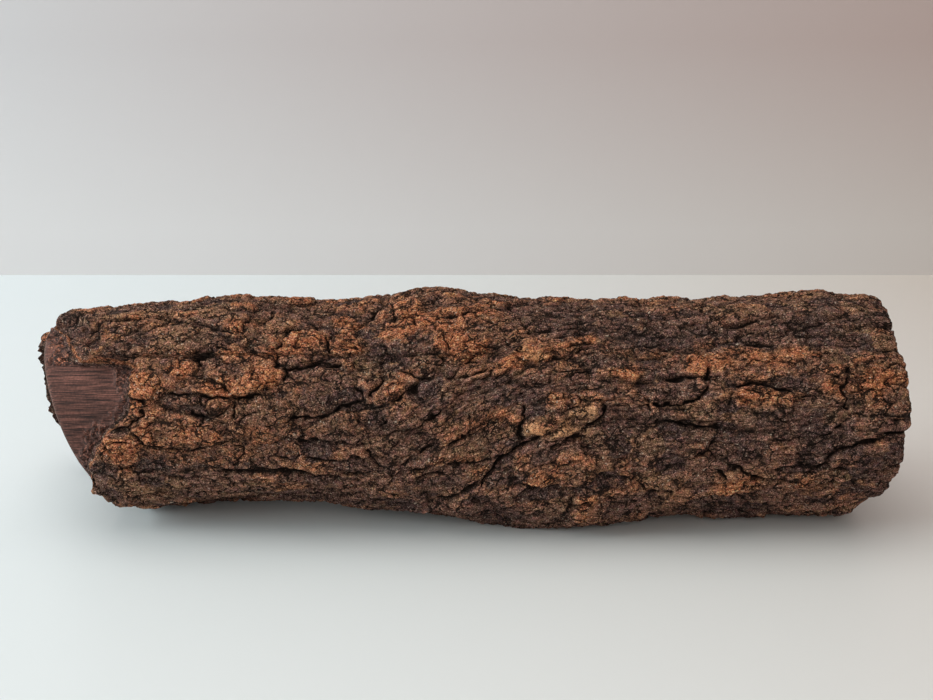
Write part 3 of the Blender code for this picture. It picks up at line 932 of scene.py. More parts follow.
@dataclass
class Bark:
    """The bark, in lengths that meet ring to ring; each is a closed sleeve of its own."""

    form: TrunkForm
    columns: int = 500
    rings: tuple[int, ...] = (150, 190, 190, 165)
    names: tuple[str, ...] = ("bark_broken_end", "bark_knot", "bark_belly", "bark_square_end")
    finer_front: float = 0.3
    finest_angle: float = math.radians(20)
    end_steps: int = 15
    lip_steps: int = 26
    lip_reach: float = 34.0
    bed: float = 0.5  # how deep the sleeve's inside is let into the wood
    left_teeth: float = 1.3
    right_teeth: float = 0.8
    right_wear: float = 1.6
    right_wear_reach: float = 1.8
    lip_ledge: float = 2.7  # how far the broken face stands off the wood

    def column_angles(self) -> Array:
        """The columns' angles, closer together at the front.

        Returns:
            The angle of each column, in radians.
        """
        angle = np.linspace(0, FULL_TURN, 4096)
        share = angle + self.finer_front * (np.sin(angle - self.finest_angle) + math.sin(self.finest_angle))
        return np.interp(np.arange(self.columns) / self.columns * FULL_TURN, share, angle)

    def build(self, material: Material) -> None:
        """Builds and dresses every length of bark.

        Args:
            material: the bark's finish.
        """
        form = self.form
        angle = self.column_angles()[None, :]
        total = sum(self.rings)
        share = (np.arange(total + 1) / total)[:, None]
        left = form.end_of_bark(angle, Side.LEFT) + self.ragged(angle, 301, self.left_teeth)
        right = form.end_of_bark(angle, Side.RIGHT) + self.ragged(angle, 311, self.right_teeth)
        x = left + (right - left) * share
        skin = Skin(form, x, np.broadcast_to(angle, x.shape))
        relief = BarkRelief(skin)
        radius = relief.radius()
        gone = self.layer_gone(x, skin)
        depth = form.once_round(skin.angle, form.left_wear)
        worn = self.wear(x - left, depth, 3.0 + 0.6 * depth, skin)
        radius -= worn + self.wear(right - x, self.right_wear, self.right_wear_reach, skin)
        radius -= form.outer_layer * gone
        masks = {name: relief.masks[name] for name in COLOUR_MASKS}
        self.lay_bare(masks, gone)
        masks["grain"] = grain_places(form, x, skin.around, radius)
        start = 0
        for number, (name, rings) in enumerate(zip(self.names, self.rings)):
            rows = slice(start, start + rings + 1)
            parts = [self.patch(x[rows], radius[rows], angle, {k: m[rows] for k, m in masks.items()})]
            first, last = number == 0, number == len(self.rings) - 1
            parts += self.right_end(parts[0], angle) if last else [self.seam(parts[0], angle, -1)]
            parts += self.left_end(parts[0], angle) if first else [self.seam(parts[0], angle, 0)]
            points = np.concatenate([part["points"] for part in parts])
            whole = {key: np.concatenate([part[key] for part in parts]) for key in masks}
            dress(as_sheet(name, points, whole, ring_closed=True), material)
            start += rings

    def ragged(self, angle: Array, seed: int, size: float) -> Array:
        """How far the bark's end strays along the trunk, in millimetres: torn teeth of fibre.

        Args:
            angle: around the axis, in radians.
            seed: which pattern.
            size: how long the teeth are, in millimetres.

        Returns:
            The distance.
        """
        around = angle / FULL_TURN
        torn = np.zeros(angle.shape, np.float32)
        for waves, weight in ((24, 0.9), (70, 0.6), (160, 0.4), (330, 0.25)):
            torn += weight * ring_noise(0.5 + 0 * angle, around, waves, seed + waves)
        return size * torn

    def layer_gone(self, x: Array, skin: Skin) -> Array:
        """1 where the outer layer has come off near the top of the broken end, 0 elsewhere.

        Args:
            x: along the trunk, in millimetres.
            skin: the bark's layout.

        Returns:
            From 0 to 1 for each corner.
        """
        layer_end = self.form.once_round(skin.angle, self.form.left_layer_end)
        ragged = 1.6 * skin.wave(6, 5, 323, 2) + 0.8 * skin.wave(2.2, 2.2, 325, 2)
        return smooth((layer_end + ragged - x) / 1.4 + 0.5)

    @staticmethod
    def lay_bare(masks: Masks, gone: Array) -> None:
        """Makes the layer under the missing one dark and fibrous, and the edge above it tan, with a painted
        highlight through the raised mask.

        Args:
            masks: the colour masks, which are changed.
            gone: where the layer is missing.
        """
        edge = 4 * gone * (1 - gone)
        for name, left in (("rust", 0.45), ("tan", 0.0), ("pale", 0.2)):
            masks[name] = masks[name] * (1 - (1 - left) * gone)
        # the raised mask on the edge paints it lighter: painted highlight
        for name, least in (("dark", gone), ("fibrous", gone), ("tan", edge), ("raised", 0.85 * edge)):
            masks[name] = np.maximum(masks[name], least)

    def wear(self, inwards: Array, depth: Array, reach: Array, skin: Skin) -> Array:
        """How much the bark is rubbed down near its broken edge, in millimetres."""
        uneven = 1 + 0.4 * skin.wave(6, 7, 321)
        return depth * uneven * np.exp(-np.maximum(inwards, 0) / reach)

    def patch(self, x: Array, radius: Array, angle: Array, masks: Masks) -> Masks:
        """Rings of the sleeve, with their places and masks.

        Args:
            x: along the trunk, in millimetres.
            radius: from the axis, in millimetres.
            angle: around the axis.
            masks: the colour masks and the grain, for each corner.

        Returns:
            The masks, and the corners in metres under points.
        """
        x, radius, angle = np.broadcast_arrays(x, radius, angle)
        return {**masks, "x": x, "radius": radius, "points": self.form.points(x, radius, angle)}

    def seam(self, sleeve: Masks, angle: Array, ring: int) -> Masks:
        """The hidden inner ring under the sleeve's first or last ring."""
        masks = {k: sleeve[k][[ring]] for k in (*COLOUR_MASKS, "grain")}
        return self.patch(sleeve["x"][[ring]], self.form.wood_at(angle) - self.bed, angle, masks)

    def end_masks(self, x: Array, radius: Array, angle: Array, **values: Array) -> Masks:
        """Masks for a broken face or the sleeve's inside; what isn't given is even.

        Args:
            x: along the trunk, in millimetres.
            radius: from the axis, in millimetres.
            angle: around the axis, in radians.
            values: the masks that aren't even.

        Returns:
            The masks and the grain.
        """
        x, radius, angle = np.broadcast_arrays(x, radius, angle)
        even = dict.fromkeys(COLOUR_MASKS, 0.0) | {"rust": 0.3, "raised": 0.5, "fibrous": 0.4, "tone": 0.5}
        masks = {k: np.broadcast_to(values.get(k, even[k]), x.shape) for k in COLOUR_MASKS}
        masks["grain"] = grain_places(self.form, x, angle / FULL_TURN * self.form.girth, radius)
        return masks

    def right_end(self, sleeve: Masks, angle: Array) -> list[Masks]:
        """The bark's thickness at the square end, from the outside in.

        Args:
            sleeve: the length of bark that ends here.
            angle: around the axis, in radians.

        Returns:
            The rings of the broken face.
        """
        share = (np.arange(1, self.end_steps + 1) / self.end_steps)[:, None]
        edge_x, edge_radius = sleeve["x"][-1:], sleeve["radius"][-1:]
        inner = self.form.wood_at(angle) - self.bed
        radius = edge_radius + (inner - edge_radius) * share
        cut = self.form.cut_plane(radius, angle, Side.RIGHT)
        turns = angle / FULL_TURN
        layered = ring_noise(radius / 1.3 + turns * self.form.girth / 30, turns, 40, 331)
        rough = ring_noise(radius / 2.2, turns, 120, 332)
        square = smooth(share / 0.5)
        x = edge_x * (1 - square) + cut * square + (0.7 * layered + 0.5 * rough) * (share < 1)
        # dark and crack follow the recesses between the layers: painted shade; tone is lighter where the
        # face stands out: painted light
        masks = self.end_masks(
            x, radius, angle, rust=smooth(0.45 + 0.5 * rough), crack=smooth(-0.6 * layered),
            dark=smooth(0.3 - 0.7 * layered), tone=0.5 + 0.3 * rough,
        )
        return [self.patch(x, radius, angle, masks)]

    def left_end(self, sleeve: Masks, angle: Array) -> list[Masks]:
        """The broken end: the inside of the sleeve first, then the broken face from the inside out.

        Args:
            sleeve: the length of bark that ends here.
            angle: around the axis, in radians.

        Returns:
            The rings of the inside, then those of the face.
        """
        form = self.form
        edge_x, edge_radius = sleeve["x"][:1], sleeve["radius"][:1]
        turns = angle / FULL_TURN
        wood = form.wood_at(angle)
        bare = smooth((edge_x - form.cut_plane(wood, angle, Side.LEFT)) / 12)
        inner = wood - self.bed
        ledge = wood + self.lip_ledge
        share = (np.arange(self.end_steps + 1) / self.end_steps)[::-1][:, None]
        foot = (3.0 + 4.5 * smooth(0.5 + 0.8 * ring_noise(0.5 + 0 * turns, turns, 26, 341))) * bare
        face = smooth(share / 0.55)
        radius = edge_radius + (ledge - edge_radius) * face + (inner - ledge) * smooth((share - 0.5) / 0.5)
        rough = ring_noise(radius / 2.0 + share * 3, turns, 130, 342)
        grit = ring_noise(radius / 0.9 + share * 6, turns, 260, 343)
        x = edge_x - foot * smooth((share - 0.35) / 0.65) - 0.8 * share
        x = x + (0.8 * rough + 0.45 * grit) * (share > 0)
        radius = radius + (0.5 * rough + 0.35 * grit) * smooth((share - 0.3) / 0.3) * (share < 1)
        dark = smooth((share - 0.42) / 0.2)
        masks = self.end_masks(
            x, radius, angle, rust=np.clip(0.85 - dark + 0.3 * rough, 0, 1), dark=0.9 * dark,
            crack=smooth(-0.5 * grit - 0.2), fibrous=0.2, tone=0.5 + 0.4 * grit,
            pale=smooth(0.3 * grit - 0.1) * (1 - dark),
        )
        broken = self.patch(x, radius, angle, masks)
        steps = (np.arange(1, self.lip_steps + 1) / self.lip_steps)[::-1][:, None]
        reach = x[:1] + self.lip_reach * steps
        strands = ring_noise(reach / 9, turns, 150, 344)
        flaky = ring_noise(reach / 4, turns, 60, 345)
        lip_radius = inner + (0.9 * strands + 0.9 * flaky + 0.6) * (1 - bare)
        # crack and tone follow the strands: darker where they lie low, lighter where they stand up: painted
        # light and shade
        inside = self.end_masks(
            reach, lip_radius, angle, dark=0.8, fibrous=0.9, rust=0.05, crack=smooth(-0.8 * strands),
            tone=0.5 + 0.4 * strands,
        )
        return [self.patch(reach, lip_radius, angle, inside), broken]


@dataclass
class Wood:
    """The wood inside the bark, bare in front of its broken end and on both cut faces."""

    form: TrunkForm
    columns: int = 600
    face_rings: int = 34
    bare_rings: int = 92
    hidden_rings: int = 3
    bare_reach: float = 52.0
    rim_reach: float = 0.6
    checks: int = 9
    ring_width: float = 1.9
    crack_places: Line = ((-167, 52), (-155, 50), (-143, 46))
    crack_half_width: float = 0.45
    crack_depth: float = 1.6

    def build(self, material: Material) -> None:
        """Builds and dresses the wood.

        Args:
            material: the wood's finish.
        """
        form = self.form
        angle = (np.arange(self.columns) / self.columns * FULL_TURN)[None, :]
        rim = form.wood_at(angle) - form.wood_edge
        out = (np.arange(self.face_rings + 1) / self.face_rings)[:, None]
        left_x, left_radius = self.face(out * rim, angle, Side.LEFT)
        right_x, right_radius = self.face(out[::-1] * rim, angle, Side.RIGHT)
        share = (np.arange(1, self.bare_rings + 1) / self.bare_rings)[:, None] ** 1.15
        start = left_x[-1:]
        side_x = start + self.bare_reach * share
        side_radius = self.side(side_x, angle, side_x - start)
        onward = (np.arange(1, self.hidden_rings + 1) / (self.hidden_rings + 1))[:, None]
        far_x = side_x[-1:] + (right_x[:1] - side_x[-1:]) * onward
        far_radius = np.broadcast_to(form.wood_at(angle) - 0.2, far_x.shape)
        x = np.concatenate([left_x, side_x, far_x, right_x])
        radius = np.concatenate([left_radius, side_radius, far_radius, right_radius])
        end = np.zeros(x.shape, np.float32)
        end[: self.face_rings + 1] = 1
        end[-self.face_rings - 1 :] = 1
        on_side = {
            # rim: a lighter line along the rounded edge beside the cut: painted highlight
            "rim": np.exp(-(((x - start) / self.rim_reach) ** 2)),
            "residue": self.residue(x, angle),
            "scraps": self.scraps(x, angle),
            "crack": self.crack_mask(x, angle),
        }
        masks = {name: values * (1 - end) for name, values in on_side.items()}
        masks["end"] = end
        masks["grain"] = grain_places(form, x, angle / FULL_TURN * form.girth, radius)
        dress(as_sheet("wood", form.points(x, radius, angle), masks, ring_closed=False), material)

    def face(self, radius: Array, angle: Array, side: Side) -> tuple[Array, Array]:
        """A sawn end with its rings and its checks, which open outwards from the pith.

        Args:
            radius: from the axis, in millimetres, by ring.
            angle: by column.
            side: which end.

        Returns:
            x and radius of each corner, in millimetres.
        """
        seed = 401 if side is Side.LEFT else 411
        x = self.form.cut_plane(radius, angle, side)
        turns = angle / FULL_TURN
        draw = np.random.default_rng(seed)
        out = radius / self.form.wood_at(angle)
        rough = 0.35 * ring_noise(radius / 2.2, turns, 60, seed) * smooth(out / 0.2)
        depth = np.zeros(x.shape)
        for number in range(self.checks):
            middle = draw.uniform(0, FULL_TURN)
            start, length, deep = draw.uniform(0.02, 0.5), draw.uniform(0.25, 0.6), draw.uniform(1.0, 3.0)
            bend = 0.05 * np.sin(out * 9 + number)
            gap = np.abs(turn_between(angle, middle) + bend) * radius
            within = smooth((out - start) / 0.08) * smooth((start + length - out) / 0.08)
            depth = np.maximum(depth, deep * within * np.exp(-((gap / 0.45) ** 2)))
        wobble = 1.2 * ring_noise(radius / 9, turns, 6, seed + 5)
        rings = 0.12 * np.sin(radius / self.ring_width * FULL_TURN + wobble)
        edge = smooth((1 - out - 0.02) / 0.04)
        return x + side.value * (rough + rings - depth) * edge * smooth(out / 0.1), radius + 0 * x

    def side(self, x: Array, angle: Array, inwards: Array) -> Array:
        """The bare wood's radius: fine strands, a few gouges and one long crack.

        Args:
            x: along the trunk, in millimetres.
            angle: around the axis, in radians.
            inwards: distance from the cut, in millimetres.

        Returns:
            The radius, in millimetres.
        """
        form = self.form
        turns = angle / FULL_TURN
        strands = 0.06 * ring_noise(x / 9, turns, 300, 421) + 0.02 * ring_noise(x / 22, turns, 110, 422)
        wavy = 0.25 * ring_noise(x / 30, turns, 14, 423)
        rounded = form.wood_edge * np.exp(-np.maximum(inwards, 0) / 0.8)
        crumbs = ring_noise(x / 1.3, turns, 180, 424) + 0.5 * ring_noise(x / 4.0, turns, 60, 425)
        torn = np.maximum(self.residue(x, angle), self.scraps(x, angle)) * (0.7 + 1.0 * crumbs)
        crack = self.crack_depth * self.crack_mask(x, angle)
        return form.wood_at(angle) - rounded + strands + wavy + torn - crack

    def residue(self, x: Array, angle: Array) -> Array:
        """Where crumbs of inner bark still stick to the wood beside the break.

        Args:
            x: along the trunk, in millimetres.
            angle: around the axis, in radians.

        Returns:
            From 0 to 1 for each corner.
        """
        to_break = self.form.end_of_bark(angle, Side.LEFT) - x
        reach = 3.0 + 7.5 * smooth((np.degrees(turn_between(angle, 0.0)) + 35) / 40)
        return smooth((1.15 - to_break / reach + 0.45 * self.patchy(x, angle)) / 0.6)

    def scraps(self, x: Array, angle: Array) -> Array:
        """Where rusty scraps of bark still stick to the wood near the top.

        Args:
            x: along the trunk, in millimetres.
            angle: around the axis, in radians.

        Returns:
            From 0 to 1 for each corner.
        """
        patchy = self.patchy(x, angle)
        upper = smooth(turn_between(angle, math.radians(47)) / 0.06 + 0.3 * patchy)
        return 0.75 * upper * smooth((x + 176) / 7 + 0.4 * patchy)

    @staticmethod
    def patchy(x: Array, angle: Array) -> Array:
        """Uneven patches over the bare wood."""
        turns = angle / FULL_TURN
        return ring_noise(x / 5, turns, 44, 431) + 0.6 * ring_noise(x / 1.8, turns, 130, 432)

    def crack_mask(self, x: Array, angle: Array) -> Array:
        """The long crack in the bare wood, which the finish paints near-black inside: painted shade.

        Args:
            x: along the trunk, in millimetres.
            angle: around the axis, in radians.

        Returns:
            From 0 to 1 for each corner.
        """
        skin = Skin(self.form, x, np.broadcast_to(angle, x.shape))
        wander = 0.4 * ring_noise(x / 6, angle / FULL_TURN, 40, 441)
        gap, _ = skin.beside_line(self.crack_places, 0 * wander, wander)
        gap = gap * self.form.wood_radius / self.form.bark_radius
        return np.exp(-((gap / self.crack_half_width) ** 2)).astype(np.float32)


@dataclass
class NodeKit:
    """Lays out the nodes of one node tree."""

    tree: Tree

    def make(
        self, kind: str, inputs: dict | None = None, output: int | str = 0, **settings: object
    ) -> Socket:
        """Adds a node.

        Args:
            kind: the node's type, without its ShaderNode prefix.
            inputs: a value or another node's output for each input, by name or number.
            output: which output to give back.
            settings: the node's own settings.

        Returns:
            The output.
        """
        node = self.tree.nodes.new("ShaderNode" + kind)
        for name, setting in settings.items():
            setattr(node, name, setting)
        for name, value in (inputs or {}).items():
            self.feed(node.inputs[name], value)
        return node.outputs[output]

    def feed(self, socket: Socket, value: object) -> None:
        """Links an output to a socket, or sets the socket's value.

        Args:
            socket: the input.
            value: a value, or another node's output.
        """
        if isinstance(value, Socket):
            self.tree.links.new(value, socket)
        else:
            socket.default_value = value

    def mix(self, share: object, first: object, second: object, blend: str = "MIX") -> Socket:
        """Mixes two colours, share being how much of the second."""
        settings = {"data_type": "RGBA", "blend_type": blend, "clamp_factor": True, "clamp_result": True}
        return self.make("Mix", {0: share, 6: first, 7: second}, output=2, **settings)

    def shaded(self, colour: object, shade: object) -> Socket:
        """A colour made darker or lighter by a number."""
        return self.mix(1.0, colour, self.make("CombineColor", {0: shade, 1: shade, 2: shade}), "MULTIPLY")

    def vector(self, operation: str, first: object, second: object) -> Socket:
        """Works out one place from two."""
        return self.make("VectorMath", {0: first, 1: second}, operation=operation)

    def math(self, operation: str, first: object, second: object = 0.0) -> Socket:
        """Works out one number from two."""
        return self.make("Math", {0: first, 1: second}, operation=operation)

    def times(self, first: object, second: object) -> Socket:
        """The product of two numbers."""
        return self.math("MULTIPLY", first, second)

    def plus(self, first: object, second: object) -> Socket:
        """The sum of two numbers."""
        return self.math("ADD", first, second)

    def most(self, first: object, second: object) -> Socket:
        """The greater of two numbers."""
        return self.math("MAXIMUM", first, second)

    def between(
        self, value: object, low: float, high: float, to_low: float = 0.0, to_high: float = 1.0
    ) -> Socket:
        """Stretches value from low..high to to_low..to_high, held at the ends."""
        return self.make("MapRange", {0: value, 1: low, 2: high, 3: to_low, 4: to_high}, clamp=True)

    def mask(self, name: str) -> Socket:
        """A number kept for each corner of the mesh."""
        return self.make("Attribute", output="Fac", attribute_name=name, attribute_type="GEOMETRY")

    def places(self, name: str) -> Socket:
        """A place kept for each corner of the mesh."""
        return self.make("Attribute", output="Vector", attribute_name=name, attribute_type="GEOMETRY")

    def scaled(self, places: object, scale: tuple[float, float, float]) -> Socket:
        """Places stretched by scale."""
        return self.make("Mapping", {"Vector": places, "Scale": scale})

    def noise(
        self,
        places: object,
        scale: object,
        detail: float = 2.0,
        roughness: float = 0.5,
        output: str = "Fac",
    ) -> Socket:
        """A cloudy pattern with waves of 1 / scale metres.

        Args:
            places: where it is read.
            scale: waves in a metre.
            detail: how many finer patterns are laid over it.
            roughness: how strong they are.
            output: Fac for a number, Color for three.

        Returns:
            The pattern.
        """
        settings = {"Vector": places, "Scale": scale, "Detail": detail, "Roughness": roughness}
        return self.make("TexNoise", settings, output=output)


Colour = tuple[float, float, float]


def solid(colour: Colour) -> tuple[float, float, float, float]:
    """A colour with its fourth number."""
    return (*colour, 1.0)


@dataclass
class Effects:
    """The shader groups that several finishes share."""

    speckle: Tree = field(init=False)
    strands: Tree = field(init=False)
    crackle: Tree = field(init=False)

    def __post_init__(self) -> None:
        """Builds each group once."""
        self.speckle = self.build_speckle()
        self.strands = self.build_strands()
        self.crackle = self.build_crackle()

    @staticmethod
    def group(
        name: str, inputs: dict[str, float | None], outputs: tuple[str, ...]
    ) -> tuple[Tree, NodeKit, bpy.types.Node, bpy.types.Node]:
        """Starts a group.

        Args:
            name: the group's name.
            inputs: its inputs; None for a place, otherwise the number it starts with.
            outputs: its outputs, all numbers.

        Returns:
            The group, a kit to fill it, and its input and output nodes.
        """
        tree = bpy.data.node_groups.new(name, "ShaderNodeTree")
        for label, start in inputs.items():
            kind = "NodeSocketVector" if start is None else "NodeSocketFloat"
            socket = tree.interface.new_socket(label, in_out="INPUT", socket_type=kind)
            if start is not None:
                socket.default_value = start
        for label in outputs:
            tree.interface.new_socket(label, in_out="OUTPUT", socket_type="NodeSocketFloat")
        return tree, NodeKit(tree), tree.nodes.new("NodeGroupInput"), tree.nodes.new("NodeGroupOutput")

    def build_speckle(self) -> Tree:
        """Crumbs of cork: tops painted light and pits painted dark by their height, and that height itself:
        painted light and shade.

        Returns:
            The group.
        """
        outputs = ("Light", "Height", "Pits")
        tree, kit, given, result = self.group("cork_speckle", {"Places": None, "Grain": 0.0012}, outputs)
        scale = kit.math("DIVIDE", 1.0, given.outputs["Grain"])
        fine = kit.noise(given.outputs["Places"], scale, 3.0, 0.65)
        settings = {"Vector": given.outputs["Places"], "Scale": scale}
        crumbs = kit.make("TexVoronoi", settings, output="Distance", distance="MANHATTAN")
        height = kit.math("SUBTRACT", fine, kit.times(crumbs, 0.26))
        tree.links.new(kit.between(height, 0.12, 0.62), result.inputs["Light"])
        tree.links.new(height, result.inputs["Height"])
        tree.links.new(kit.between(height, 0.22, 0.12), result.inputs["Pits"])
        return tree

    def build_strands(self) -> Tree:
        """Fibres drawn out along the grain: light and dark, and their height.

        Returns:
            The group.
        """
        inputs = {"Places": None, "Width": 0.0007}
        tree, kit, given, result = self.group("strands", inputs, ("Light", "Height"))
        scale = kit.math("DIVIDE", 1.0, given.outputs["Width"])
        drawn = kit.scaled(given.outputs["Places"], (0.06, 1.0, 1.0))
        fine = kit.noise(drawn, scale, 2.0, 0.6)
        tree.links.new(kit.between(fine, 0.33, 0.67), result.inputs["Light"])
        tree.links.new(fine, result.inputs["Height"])
        return tree

    def build_crackle(self) -> Tree:
        """Short, ragged hair cracks: 1 in a crack, 0 beside it.

        Returns:
            The group.
        """
        inputs = {"Places": None, "Size": 0.004, "Share": 0.5}
        tree, kit, given, result = self.group("crackle", inputs, ("Cracks",))
        places, size = given.outputs["Places"], given.outputs["Size"]
        scale = kit.math("DIVIDE", 1.0, size)
        stray = kit.vector("SUBTRACT", kit.noise(places, scale, 3.0, 0.7, output="Color"), (0.5, 0.5, 0.5))
        stray = kit.vector("MULTIPLY", stray, kit.make("CombineXYZ", {0: size, 1: size, 2: size}))
        ragged = kit.vector("ADD", places, kit.vector("MULTIPLY", stray, (1.5, 1.5, 1.5)))
        settings = {"Vector": ragged, "Scale": scale}
        edge = kit.make("TexVoronoi", settings, output="Distance", feature="DISTANCE_TO_EDGE")
        elsewhere = kit.vector("ADD", places, (3.0, 1.0, 2.0))
        kept = kit.plus(kit.noise(elsewhere, kit.times(scale, 0.8), 2.0, 0.6), given.outputs["Share"])
        cracks = kit.times(kit.between(edge, 0.03, 0.1, 1.0, 0.0), kit.between(kept, 0.95, 1.1))
        tree.links.new(cracks, result.inputs["Cracks"])
        return tree

    @staticmethod
    def use(kit: NodeKit, tree: Tree, **inputs: object) -> bpy.types.Node:
        """Places a group in a material with these inputs.

        Args:
            kit: lays out the material's nodes.
            tree: the group.
            inputs: a value or an output for each input.

        Returns:
            The group's node.
        """
        node = kit.tree.nodes.new("ShaderNodeGroup")
        node.node_tree = tree
        for name, value in inputs.items():
            kit.feed(node.inputs[name], value)
        return node


def new_material(
    name: str, roughness: float, specular: float
) -> tuple[Material, NodeKit, bpy.types.Node]:
    """Starts a finish.

    Args:
        name: its name.
        roughness: the shader's roughness.
        specular: the shader's specular level.

    Returns:
        The material, a kit to lay out its nodes, and its shader.
    """
    material = bpy.data.materials.new(name)
    material.use_nodes = True
    shader = material.node_tree.nodes["Principled BSDF"]
    shader.inputs["Roughness"].default_value = roughness
    shader.inputs["Specular IOR Level"].default_value = specular
    return material, NodeKit(material.node_tree), shader


@dataclass(frozen=True)
class BarkFinish:
    """Dry bark: rusty cork on its plates, dark fibre between, pale flecks on its edges; light and shade are
    painted on its crumbs and its relief.
    """

    dark_fibre: Colour = (0.118, 0.067, 0.059)
    brown: Colour = (0.260, 0.131, 0.093)
    tan: Colour = (0.36, 0.190, 0.112)
    orange_brown: Colour = (0.360, 0.160, 0.091)
    rust: Colour = (0.57, 0.190, 0.087)
    # the lit copy of rust, painted where the crumbs stand high: painted highlight
    rust_painted_highlight: Colour = (0.82, 0.350, 0.175)
    # pale: the white specks, and the painted highlights on raised tips
    pale: Colour = (0.90, 0.72, 0.56)
    # flake: warm pale flakes of bark; where the pale mask follows raised places they are painted highlight
    flake: Colour = (0.98, 0.50, 0.245)
    # crack: near-black, painted into cracks, pits and low places: painted shade
    crack: Colour = (0.012, 0.007, 0.005)

    def material(self, effects: Effects) -> Material:
        """The bark's material.

        Args:
            effects: the shared shader groups.

        Returns:
            The material.
        """
        material, kit, shader = new_material("bark", 0.9, 0.12)
        grain = kit.places("grain")
        here = kit.make("TexCoord", output="Object")
        cork = effects.use(kit, effects.speckle, Places=kit.scaled(grain, (0.8, 1.0, 1.0)), Grain=0.0009)
        # the finest crumbs: their tops are painted lighter and the gaps between them darker: painted light
        # and shade
        finest_crumbs = effects.use(kit, effects.speckle, Places=here, Grain=0.00052)
        fibre = effects.use(kit, effects.strands, Places=kit.scaled(grain, (2.2, 1.0, 1.0)), Width=0.0007)
        drawn = kit.scaled(grain, (0.8, 1.0, 1.0))
        wide = effects.use(kit, effects.crackle, Places=drawn, Size=0.0050, Share=0.55)
        fine = effects.use(kit, effects.crackle, Places=drawn, Size=0.0024, Share=0.5)
        # light is how high the crumbs of cork or the fibres stand; higher places are painted lighter, lower
        # ones darker: painted light and shade
        light = self.blend(
            kit, kit.times(kit.mask("fibrous"), 0.75), cork.outputs["Light"], fibre.outputs["Light"]
        )
        shade = kit.times(kit.between(light, 0.0, 1.0, 0.62, 1.5), self.painted_crumb_light_and_shade(kit, finest_crumbs))
        # the raised mask paints places above their neighbours lighter and those below darker: painted light
        # and shade
        shade = kit.times(shade, kit.between(kit.mask("raised"), 0.1, 0.9, 0.64, 1.42))
        base = kit.shaded(self.colour(kit, here, light), shade)
        # the brightest fine crumbs, which get pale tips below: painted highlights
        crumb_highlights = kit.between(finest_crumbs.outputs["Light"], 0.55, 0.9)
        flaky = kit.between(finest_crumbs.outputs["Light"], 0.2, 0.6, 0.3, 0.95)
        # flakes where the pale mask is: partly pale bark, partly painted highlight on raised places
        base = kit.mix(kit.times(kit.mask("pale"), flaky), base, solid(self.flake))
        # pale tips on raised, bright crumbs: painted highlights
        painted_tip_highlights = kit.times(kit.between(kit.mask("raised"), 0.5, 1.0, 0.3, 0.48), crumb_highlights)
        base = kit.mix(painted_tip_highlights, base, solid(self.pale))
        specks = kit.noise(kit.vector("ADD", here, (1.0, 2.0, 3.0)), 800.0, 1.0)
        base = kit.mix(kit.between(specks, 0.69, 0.75, 0.0, 0.65), base, solid(self.pale))
        # near-black in the hair cracks, in the pits between crumbs and in the crack mask's crevices and low
        # places: painted shade
        cracks = kit.most(wide.outputs["Cracks"], kit.times(fine.outputs["Cracks"], 0.8))
        recess_shade = kit.most(kit.times(cork.outputs["Pits"], 0.75), kit.mask("crack"))
        recess_shade = kit.most(recess_shade, cracks)
        base = kit.mix(kit.between(recess_shade, 0.15, 0.8, 0.0, 0.95), base, solid(self.crack))
        kit.feed(shader.inputs["Base Color"], base)
        height = kit.plus(light, kit.times(finest_crumbs.outputs["Light"], 0.6))
        height = kit.math("SUBTRACT", height, cracks)
        bump = kit.make("Bump", {"Strength": 1.0, "Distance": 0.0008, "Height": height})
        kit.feed(shader.inputs["Normal"], bump)
        return material

    def colour(self, kit: NodeKit, here: object, light: object) -> Socket:
        """The bark's colour without its grains: dark, brown or tan, then orange-brown and rusty.

        Args:
            kit: lays out the material's nodes.
            here: places on the piece.
            light: how high the crumbs stand, which paints the rust lighter on their tops: painted
                highlight.

        Returns:
            The colour.
        """
        base = kit.mix(kit.between(kit.mask("tone"), 0.2, 0.8), solid(self.dark_fibre), solid(self.brown))
        base = kit.mix(kit.mask("tan"), base, solid(self.tan))
        base = kit.mix(kit.times(kit.mask("dark"), 0.7), base, solid(self.dark_fibre))
        cloud = kit.plus(kit.noise(here, 350.0, 4.0, 0.65), kit.times(light, 0.25))
        rusty = kit.plus(kit.mask("rust"), cloud)
        base = kit.mix(kit.between(rusty, 0.62, 1.15), base, solid(self.orange_brown))
        # rust is painted lighter on the crumbs' tops: painted highlight
        rust = kit.mix(kit.between(light, 0.45, 0.95), solid(self.rust), solid(self.rust_painted_highlight))
        base = kit.mix(kit.between(rusty, 1.15, 1.62), base, rust)
        tint = kit.noise(here, 420.0, 2.0, 0.6, output="Color")
        return kit.mix(0.24, base, tint, "OVERLAY")

    @staticmethod
    def blend(kit: NodeKit, share: object, first: object, second: object) -> Socket:
        """One number between two, share being how much of the second."""
        return kit.make("Mix", {0: share, 2: first, 3: second}, data_type="FLOAT")

    @staticmethod
    def painted_crumb_light_and_shade(kit: NodeKit, finest_crumbs: bpy.types.Node) -> Socket:
        """How bright the finest crumbs are painted by their height: mostly dull, here and there bright;
        painted light and shade.
        """
        return kit.between(kit.math("POWER", finest_crumbs.outputs["Light"], 2.4), 0.0, 1.0, 0.48, 4.2)


